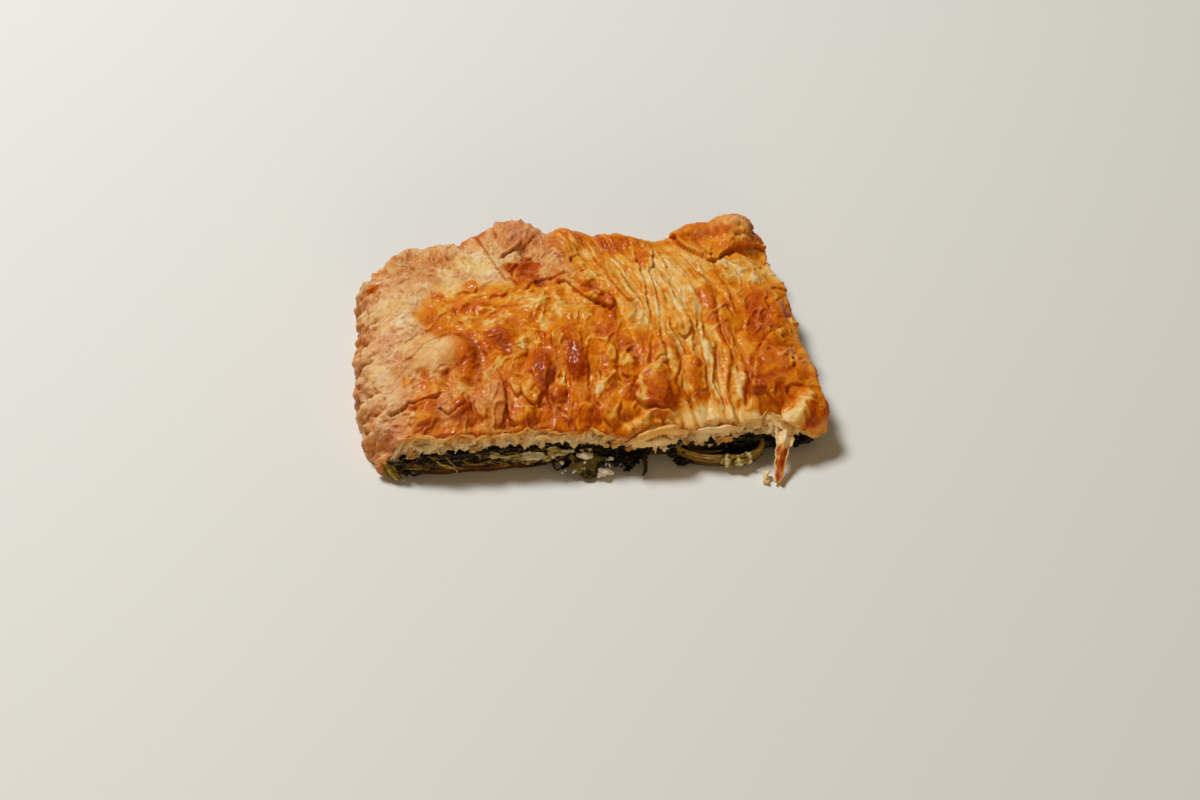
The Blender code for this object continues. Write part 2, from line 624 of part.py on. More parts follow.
def build_filling_core(collection):
    """The filling: upright and lumpy where it is cut, tapering under the baked edges."""
    floor = BOTTOM_CRUST + LAYER_GAP
    (first_s, first_t, first_share), (second_s, second_t, second_share) = FILLING_LUMP_WAVES
    rings = []
    for index in range(CUT_FACE_LEVELS + 1):
        share = index / CUT_FACE_LEVELS
        taper = FILLING_TAPER * share

        def inset(s, t, cut, share=share, taper=taper):
            lumpy = np.sin(first_s * s + first_t * t + first_share * share)
            lumpy = FILLING_LUMP * lumpy * np.sin(second_s * s + second_t * t + second_share * share)
            upright = FILLING_CUT_INSET[0] + lumpy + FILLING_CUT_INSET[1] * share
            baked = FILLING_BAKED_INSET[0] + FILLING_BAKED_INSET[1] * taper
            return baked + (upright - baked) * cut

        def height(s, t, cut, share=share, taper=taper):
            baked = floor + (FILLING_TOP - floor) * taper
            top = np.maximum(lip_height(s, t) - 2.0 * LAYER_GAP, floor + FILLING_LEAST)
            return baked + (floor + (top - floor) * share - baked) * cut

        rings.append((inset, height))
    shoulder_inset, shoulder_shift, shoulder_height = FILLING_SHOULDER

    def shoulder_level(s, t, cut):
        return shoulder_height + (lip_height(s, t) - LAYER_GAP - shoulder_height) * cut

    rings.append((lambda s, t, cut: shoulder_inset - shoulder_shift * cut, shoulder_level))
    rings.append((lambda s, t, cut: FILLING_TOP_INSET, lambda s, t, cut: FILLING_TOP))
    return build_layer("filling", collection, FILLING_SIDES, rings)


def build_lump(name, collection, centre, radii, seed):
    """An uneven lump: a ball scaled by its radii and dented by seeded waves."""
    bm = bmesh.new()
    bmesh.ops.create_icosphere(bm, subdivisions=LUMP_DETAIL, radius=1.0)
    verts = np.array([vert.co[:] for vert in bm.verts])
    uneven = 1.0 + waves(verts[:, 0] + 2.0 * verts[:, 2], verts[:, 1] - verts[:, 2], *LUMP_DENTS, seed)
    places = np.array(centre) + verts * np.array(radii) * uneven[:, None]
    floor = np.where(places[:, 1] > LUMP_OVERHANG, BOTTOM_CRUST + LAYER_GAP, FLOOR_GAP)
    places[:, 2] = np.clip(places[:, 2], floor, cut_lip(places[:, 0]) - 2.0 * LAYER_GAP)
    for vert, place in zip(bm.verts, placed(places)):
        vert.co = place
    return finish_mesh(bm, name, collection)


def build_strand(name, collection, points, radius):
    """A stem or strand: a tube along a smooth curve, made a mesh with its caps welded."""
    curve = bpy.data.curves.new(name, "CURVE")
    curve.dimensions = "3D"
    curve.bevel_depth = radius * MM
    curve.bevel_resolution = 1
    curve.resolution_u = STRAND_STEPS
    curve.use_fill_caps = True
    spline = curve.splines.new("NURBS")
    spline.points.add(len(points) - 1)
    for point, place in zip(spline.points, placed(np.array(points))):
        point.co = (*place, 1.0)
    spline.order_u = 3
    spline.use_endpoint_u = True
    guide = bpy.data.objects.new(name + "_run", curve)
    collection.objects.link(guide)
    bpy.context.view_layer.update()
    mesh = bpy.data.meshes.new_from_object(guide.evaluated_get(bpy.context.evaluated_depsgraph_get()))
    bm = bmesh.new()
    bm.from_mesh(mesh)
    bmesh.ops.remove_doubles(bm, verts=bm.verts[:], dist=STRAND_WELD * MM)
    bpy.data.objects.remove(guide)
    bpy.data.meshes.remove(mesh)
    return finish_mesh(bm, name, collection)


def build_flake(collection):
    """The torn flake: a short tongue of crust that hangs forward from the cut edge."""
    bm = bmesh.new()
    bmesh.ops.create_grid(bm, x_segments=FLAKE_GRID[0], y_segments=FLAKE_GRID[1], size=1.0)
    verts = np.array([vert.co[:] for vert in bm.verts])
    along = (verts[:, 1] + 1.0) * 0.5
    across = verts[:, 0]
    knots = np.array(FLAKE_RUN)
    weights = np.stack([(1 - along) ** 3, 3 * along * (1 - along) ** 2,
                        3 * along ** 2 * (1 - along), along ** 3], axis=-1)
    places = weights @ knots
    ripple, pace = FLAKE_RIPPLE
    fold, fold_across, fold_along = FLAKE_FOLD
    width = FLAKE_HALF_WIDTH * (1.0 - FLAKE_TAPER * along ** 2 + ripple * np.sin(pace * along))
    places[:, 0] += across * width
    places[:, 2] += fold * np.sin(fold_across * across + fold_along * along)
    for vert, place in zip(bm.verts, placed(places)):
        vert.co = place
    bmesh.ops.recalc_face_normals(bm, faces=bm.faces[:])
    geometry = bm.faces[:]
    bmesh.ops.solidify(bm, geom=geometry, thickness=FLAKE_THICKNESS * MM)
    return finish_mesh(bm, "flake", collection)


def fuse(base, extras, holder):
    """Join the extras to the base with one Boolean union, then remove them."""
    for extra in extras:
        for owner in extra.users_collection:
            owner.objects.unlink(extra)
        holder.objects.link(extra)
    union = base.modifiers.new("fused", "BOOLEAN")
    union.operation = "UNION"
    union.operand_type = "COLLECTION"
    union.collection = holder
    union.solver = "MANIFOLD"
    bpy.context.view_layer.update()
    fused = bpy.data.meshes.new_from_object(base.evaluated_get(bpy.context.evaluated_depsgraph_get()))
    base.modifiers.remove(union)
    base.data = fused
    for extra in extras:
        bpy.data.objects.remove(extra)


def main():
    for old in list(bpy.data.objects):
        bpy.data.objects.remove(old)
    spanakopita = bpy.data.collections.new("spanakopita")
    joined_to_crust = bpy.data.collections.new("joined_to_crust")
    joined_to_filling = bpy.data.collections.new("joined_to_filling")
    for group in (spanakopita, joined_to_crust, joined_to_filling):
        bpy.context.scene.collection.children.link(group)

    top_crust = build_top_crust(spanakopita)
    fuse(top_crust, [build_flake(spanakopita)], joined_to_crust)
    bottom_crust = build_bottom_crust(spanakopita)
    filling = build_filling_core(spanakopita)
    pieces = []
    for index, (centre, radii) in enumerate(CHEESE_LUMPS):
        pieces.append(build_lump(f"cheese_{index}", spanakopita, centre, radii, CHEESE_SEED + index))
    for index, (centre, radii) in enumerate(SPINACH_LUMPS):
        pieces.append(build_lump(f"spinach_{index}", spanakopita, centre, radii, SPINACH_SEED + index))
    for index, (points, radius) in enumerate(STRANDS):
        pieces.append(build_strand(f"strand_{index}", spanakopita, points, radius))
    fuse(filling, pieces, joined_to_filling)

    for piece in (top_crust, filling, bottom_crust):
        add_material(piece, ROUGHNESS[piece.name])
    for piece in (top_crust, filling):
        piece.data.shade_smooth()


main()
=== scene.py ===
# A cut piece of spanakopita: crust, spinach and cheese filling, bottom crust.
# Sizes are in millimetres about the middle of the piece, X along its length, the cut front at -Y.

import math

import bpy
import numpy as np
from mathutils import Matrix, Vector


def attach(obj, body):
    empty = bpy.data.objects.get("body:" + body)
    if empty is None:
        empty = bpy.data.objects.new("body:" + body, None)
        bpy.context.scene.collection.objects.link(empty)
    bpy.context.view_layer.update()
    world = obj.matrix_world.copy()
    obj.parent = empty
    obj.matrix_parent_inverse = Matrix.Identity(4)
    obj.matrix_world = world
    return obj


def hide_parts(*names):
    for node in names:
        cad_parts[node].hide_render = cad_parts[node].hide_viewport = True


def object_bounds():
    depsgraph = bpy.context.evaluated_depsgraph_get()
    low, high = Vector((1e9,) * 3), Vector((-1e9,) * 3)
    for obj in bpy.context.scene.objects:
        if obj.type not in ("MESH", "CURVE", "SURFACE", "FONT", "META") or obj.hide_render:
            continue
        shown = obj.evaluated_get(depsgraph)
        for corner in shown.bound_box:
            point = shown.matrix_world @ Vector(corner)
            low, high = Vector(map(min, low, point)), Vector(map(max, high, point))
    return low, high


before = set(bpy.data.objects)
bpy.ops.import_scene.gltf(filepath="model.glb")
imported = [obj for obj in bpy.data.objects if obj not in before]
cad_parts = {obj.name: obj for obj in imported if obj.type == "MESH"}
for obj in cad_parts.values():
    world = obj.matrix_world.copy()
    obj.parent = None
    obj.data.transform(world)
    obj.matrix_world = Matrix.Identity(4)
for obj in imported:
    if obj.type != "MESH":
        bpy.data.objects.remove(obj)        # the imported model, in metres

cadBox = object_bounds()
mm = 0.001
lattice = 128            # squares across the field of seeded noise before it repeats

form = {                              # the shape of the piece, the same values as the solids have
    "halfLength": 76.0,
    "halfWidth": 52.5,
    "cornerPower": 8.0,
    "outlineLength": 514.0,           # once round the piece
    "planCentre": (0.5, -5.75),
    "domeRim": 13.5,
    "domeRise": 11.5,
    "domeReachX": 80.0,
    "domeReachFront": 54.0,
    "domeReachRear": 62.0,
    "domePowers": (2.4, 2.2),
    "leftInset": 13.0,
    "rearInset": 9.0,
    "cutInset": 6.0,
    "bakedLip": 0.6,
    "lipPlaces": (-76, -62, -45, -30, -16, -4, 8, 20, 31, 38, 44, 50, 55, 60, 68, 76),
    "lipLevels": (8.6, 8.4, 8.6, 9.0, 9.4, 8.8, 8.4, 7.3, 7.1, 7.6, 9.5, 9.7, 8.8, 7.6, 7.8, 9.2),
    "cornerSag": 4.5,
    "bakedRadius": 11.0,
    "cutRadius": 3.2,
    "swayPlaces": (-76, -62, -45, -16, 17, 47, 76),
    "swayAmounts": (0.0, 2.4, 3.4, 1.4, -1.6, -0.6, 0.0),
    "skirtPlaces": (-66, -61, -53, -45, -39, -32, -25, -18, -13, -6, 0, 5, 9, 13, 18, 23, 28, 33, 38, 43,
                    48, 52, 58, 62, 66, 70, 76),
    "skirtShares": (0.58, 0.54, 0.46, 0.47, 0.54, 0.50, 0.42, 0.46, 0.53, 0.53, 0.54, 0.66, 0.66, 0.46,
                    0.36, 0.42, 0.54, 0.58, 0.44, 0.56, 0.68, 0.62, 0.60, 0.66, 0.80, 0.98, 1.06),
    "skirtUsual": 0.48,
    "lipWall": 2.4,
    "cutLipWall": 1.4,
    "ceiling": 12.0,
    "ceilingInset": 12.0,
    "bottomCrust": 2.3,
    "layerGap": 0.4,
    "fillingTop": 11.6,
    "bakedTopShare": 0.74,
    "cutTopShare": 0.86,
    "pushes": (                       # centre, movement and reach of each push of the outline
        ((-68, 47), (3.2, -1.8), 12),
        ((-76, 22), (2.6, 0.0), 16),
        ((-72, -46), (0.4, -0.4), 11),
        ((-18, 54), (0.0, 3.0), 8),
        ((27, 52), (0.0, -7.0), 11),
        ((76, 32), (-1.2, 0.0), 13),
        ((71, -50), (5.0, -3.0), 9),
    ),
}


# Rises from 0 to 1 with level ends: 3 v^2 - 2 v^3.
def smooth(value):
    value = np.clip(value, 0.0, 1.0)
    return value * value * (3.0 - 2.0 * value)


# Gradient noise from about -1 to 1: seeded slopes at the corners of a square lattice, each
# multiplied by the way from its corner and blended by the level-ended share of the cell.
def noise(x, y, length, seed):
    turns = np.random.default_rng(seed).uniform(0.0, 2.0 * math.pi, (lattice, lattice))
    u = x / length + 64.37
    v = y / length + 64.73
    column = np.floor(u).astype(int)
    row = np.floor(v).astype(int)
    a = u - column
    b = v - row

    def corner(right, up):
        turn = turns[(row + up) % lattice, (column + right) % lattice]
        return np.cos(turn) * (a - right) + np.sin(turn) * (b - up)

    near = corner(0, 0) + (corner(1, 0) - corner(0, 0)) * smooth(a)
    far = corner(0, 1) + (corner(1, 1) - corner(0, 1)) * smooth(a)
    return 1.5 * (near + (far - near) * smooth(b))


# Sharp-crested noise, 1 on the crest lines: one less twice the size of the plain noise.
def crests(x, y, length, seed):
    return 1.0 - 2.0 * np.abs(noise(x, y, length, seed))


# Thin lines along the zero lines of noise: 1 on the line, 0 past about the half width.
def wrinkles(x, y, length, halfWidth, seed):
    return smooth(1.0 - np.abs(noise(x, y, length, seed)) * length / (1.3 * halfWidth))


# Cells round seeded centres, one in each lattice square: the gap to the nearest centre and a
# seeded value of its cell.
def cells(x, y, pitch, seed):
    draw = np.random.default_rng(seed).uniform(0.08, 0.92, (3, lattice, lattice))
    u = x / pitch + 64.0
    v = y / pitch + 64.0
    column = np.floor(u).astype(int)
    row = np.floor(v).astype(int)
    nearest = np.full(x.shape, 9.0)
    value = np.zeros(x.shape)
    for right in (-1, 0, 1):
        for up in (-1, 0, 1):
            i = (row + up) % lattice
            j = (column + right) % lattice
            gap = np.hypot(column + right + draw[0, i, j] - u, row + up + draw[1, i, j] - v)
            value = np.where(gap < nearest, draw[2, i, j], value)
            nearest = np.minimum(nearest, gap)
    return nearest, value


# Both coordinates shifted by noise, each part of it given as its size, length and two seeds.
def warped(x, y, *parts):
    return (x + sum(size * noise(x, y, length, seed) for size, length, seed, _ in parts),
            y + sum(size * noise(x, y, length, seed) for size, length, _, seed in parts))


# Places along and across a heading in degrees.
def turned(x, y, heading):
    angle = math.radians(heading)
    return x * math.cos(angle) + y * math.sin(angle), y * math.cos(angle) - x * math.sin(angle)


# A bell curve, 1 at its centre, by the distance as a share of the two half sizes. A power above 1
# gives it a flatter top.
def bell(x, y, cx, cy, halfX, halfY, power=1.0):
    return np.exp(-(((x - cx) / halfX) ** 2 + ((y - cy) / halfY) ** 2) ** power)


# Vectors brought to length 1.
def unit(vectors):
    return vectors / np.maximum(np.linalg.norm(vectors, axis=-1, keepdims=True), 1e-9)


# The outward direction at each point of a grid: the cross product of its two slopes, to length 1.
def gridNormals(points):
    return unit(np.cross(np.gradient(points, axis=1), np.gradient(points, axis=0)))


# Millimetres about the piece's middle, as metres about the middle of its plan.
def placed(points):
    shifted = np.array(points, dtype=float)
    shifted[..., 0] -= form["planCentre"][0]
    shifted[..., 1] -= form["planCentre"][1]
    return shifted * mm


# 1 on the cut front and right end, 0 on the baked left end and rear.
def cutShare(s, t):
    front = smooth((1.0 + s) / 0.11) * smooth((-t - 0.9) / 0.1)
    right = smooth((s - 0.9) / 0.1) * smooth((1.0 - t) / 0.16)
    return np.maximum(front, right)


# The outline and the start of the sides, for directions on the unit square: a superellipse each.
def rimPoints(s, t):
    power = form["cornerPower"]
    roundOff = (np.abs(s) ** power + np.abs(t) ** power) ** (1.0 / power)
    insetX = np.where(s < 0.0, form["leftInset"], form["cutInset"])
    insetY = np.where(t > 0.0, form["rearInset"], form["cutInset"])
    outer = np.stack([form["halfLength"] * s, form["halfWidth"] * t], axis=-1)
    inner = np.stack([(form["halfLength"] - insetX) * s, (form["halfWidth"] - insetY) * t], axis=-1)
    return outer / roundOff[..., None], inner / roundOff[..., None]


# Points that lie the given distance inside the outline.
def insetPoints(s, t, inset):
    outer, inner = rimPoints(s, t)
    return outer + unit(inner - outer) * np.broadcast_to(inset, s.shape)[..., None]


# The level direction square to the outline: the slope of the superellipse, to length 1.
def faceOut(s, t):
    reach = np.maximum(np.maximum(np.abs(s), np.abs(t)), 1e-6)
    power = form["cornerPower"] - 1.0
    across = np.sign(s) * np.abs(s / reach) ** power / form["halfLength"]
    along = np.sign(t) * np.abs(t / reach) ** power / form["halfWidth"]
    return unit(np.stack([across, along, 0.0 * along], axis=-1))


# How far the front lip sways back from the outline, read off the sway table along the length.
def lipRecess(s, t):
    sway = np.interp(form["halfLength"] * s, form["swayPlaces"], form["swayAmounts"])
    return sway * smooth((-t - 0.9) / 0.1)


# How high the crust's lower edge is: low where it wraps, high where it is cut.
def lipHeight(s, t):
    share = cutShare(s, t)
    corner = np.exp(-((s - 0.97) ** 2 + (t + 1.0) ** 2) / 0.006)
    cutLip = np.interp(form["halfLength"] * s, form["lipPlaces"], form["lipLevels"])
    return form["bakedLip"] + (cutLip - form["bakedLip"]) * share - form["cornerSag"] * share * corner


# How far down the cut face the glazed skin hangs, as a share of the side, by place along the front.
def skirt(s, t):
    reach = np.maximum(np.maximum(np.abs(s), np.abs(t)), 1e-6)
    front = smooth((-t / reach - 0.85) / 0.1)
    share = np.interp(form["halfLength"] * s / reach, form["skirtPlaces"], form["skirtShares"])
    return form["skirtUsual"] + (share - form["skirtUsual"]) * front


# The smooth height of the top, a flat-topped dome: a rise times one less a power each way.
def dome(x, y):
    reachY = np.where(y > 0.0, form["domeReachRear"], form["domeReachFront"])
    fallX = np.clip(1.0 - np.abs(x / form["domeReachX"]) ** form["domePowers"][0], 0.0, 1.0)
    fallY = np.clip(1.0 - np.abs(y / reachY) ** form["domePowers"][1], 0.0, 1.0)
    return form["domeRim"] + form["domeRise"] * fallX * fallY


# A level stretch, a quarter-circle shoulder and a straight fall, by share of their whole length.
def shoulder(share, run, drop, radius):
    level = run - radius
    arc = 0.5 * math.pi * radius
    walked = share * (level + arc + drop - radius)
    turn = np.clip((walked - level) / radius, 0.0, 0.5 * math.pi)
    out = np.minimum(walked, level) + radius * np.sin(turn)
    down = radius * (1.0 - np.cos(turn)) + np.maximum(walked - level - arc, 0.0)
    return out, down, walked


# The plain skin of the crust: the dome out to the start of the sides, then the shoulder. Also
# gives each point's place on the flat sheet, its share down the side and how cut its edge is.
def skin(s, t):
    reach = np.maximum(np.abs(s), np.abs(t))
    atMiddle = reach < 1e-6
    sRim = np.where(atMiddle, 1.0, s / np.maximum(reach, 1e-6))
    tRim = np.where(atMiddle, 0.0, t / np.maximum(reach, 1e-6))
    outer, inner = rimPoints(sRim, tRim)
    cut = cutShare(sRim, tRim)
    topShare = form["bakedTopShare"] + (form["cutTopShare"] - form["bakedTopShare"]) * cut
    onTop = np.minimum(reach / topShare, 1.0)[..., None]
    onSide = np.clip((reach - topShare) / (1.0 - topShare), 0.0, 1.0)
    span = outer - inner
    run = np.linalg.norm(span, axis=-1)
    outward = span / run[..., None]
    run = run - lipRecess(sRim, tRim)
    drop = dome(outer[..., 0], outer[..., 1]) - lipHeight(sRim, tRim)
    radius = form["bakedRadius"] + (form["cutRadius"] - form["bakedRadius"]) * cut
    out, down, walked = shoulder(onSide, run, drop, np.minimum(radius, 0.95 * np.minimum(run, drop)))
    plan = inner * onTop + outward * out[..., None]
    sheet = inner * onTop + outward * walked[..., None]
    height = dome(plan[..., 0], plan[..., 1]) - down
    return np.concatenate([plan, height[..., None]], axis=-1), sheet, onSide, cut


# Moves points in plan by the pushes that shape the outline, each fading as a bell curve.
def pushed(points):
    moved = points.copy()
    for (cx, cy), (stepX, stepY), reach in form["pushes"]:
        near = bell(points[..., 0], points[..., 1], cx, cy, 2.0 ** 0.5 * reach, 2.0 ** 0.5 * reach)
        moved[..., 0] += stepX * near
        moved[..., 1] += stepY * near
    return moved


# A ring of points inside the outline at one or more heights, in the pushed plan.
def ringPlace(s, t, inset, height):
    plan = insetPoints(s, t, inset)
    level = np.broadcast_to(height, s.shape)[..., None]
    return pushed(np.concatenate([plan, level], axis=-1))


# Evenly spaced places round the outline, from 0 to 1, as directions on the unit square.
def squareDirection(turns):
    ratio = form["halfLength"] / form["halfWidth"]
    walk = np.mod(turns, 1.0) * (4.0 + 4.0 * ratio)
    sides = [walk < 2.0, walk < 2.0 + 2.0 * ratio, walk < 4.0 + 2.0 * ratio]
    s = np.select(sides, [np.ones_like(walk), 1.0 - (walk - 2.0) / ratio, -np.ones_like(walk)],
                  -1.0 + (walk - 4.0 - 2.0 * ratio) / ratio)
    t = np.select(sides, [walk - 1.0, np.ones_like(walk), 1.0 - (walk - 2.0 - 2.0 * ratio)],
                  -np.ones_like(walk))
    return s, t


# Broad lumps and hollows: centre, half length, half width, turn in degrees, height
lumps = (
    ((-47, -16), 13, 9, 6, 3.2), ((-54, -41), 5, 6, 0, 1.6), ((-44, -41), 4, 6, 8, 1.8),
    ((-34, -38), 4.5, 8, -8, 2.2), ((-24, -45), 4, 4, 0, 1.5), ((-15, -28), 4, 7, -5, 2.2),
    ((-7, -15), 6, 6, 0, 2), ((-3, -27), 4, 6, 0, 1.4), ((-27, -11), 5, 5, 0, 1.4),
    ((7, -29), 3, 8, -8, 1.8), ((13, -31), 3, 5, 0, 1.8), ((26, -25), 4, 5, 0, 2.2),
    ((24, -39), 6, 7, 0, 2.6), ((6, -45), 5, 4, 0, 1.8), ((-4, -44), 4, 4, 0, 1.5),
    ((35, -11), 3.5, 5, 0, 1.6), ((36, -32), 4, 6, 0, 1.8), ((47, 4), 6, 8, 0, 1.6), ((66, 3), 7, 9, 0, 3.2),
    ((65, -31), 10, 11, 0, 3), ((57, -50), 4.5, 4, 0, -4.5), ((72, -50), 4, 5, 0, 1.8),
    ((-17, 46), 10, 8, 0, 5.8), ((-30, 50), 5, 5, 0, 2), ((1, 40), 6, 13, -20, 4.2),
    ((-13, 29), 4, 9, -25, -1.6), ((20, 44), 10, 8, 0, 3.4), ((50, 49), 8, 6, -20, 4),
    ((63, 45), 8, 9, 0, 8.2), ((-73, 28), 4, 5, 0, 2.4), ((-76, -3), 5, 12, 0, 2),
    ((-76, -33), 4, 6, 0, 2.2), ((-60, 44), 7, 4, 35, 2), ((-44, 52), 6, 4, 10, 2),
    ((-76, -50), 4, 3, 0, 2.4), ((-50, 38), 15, 12, 0, 1.8),
)

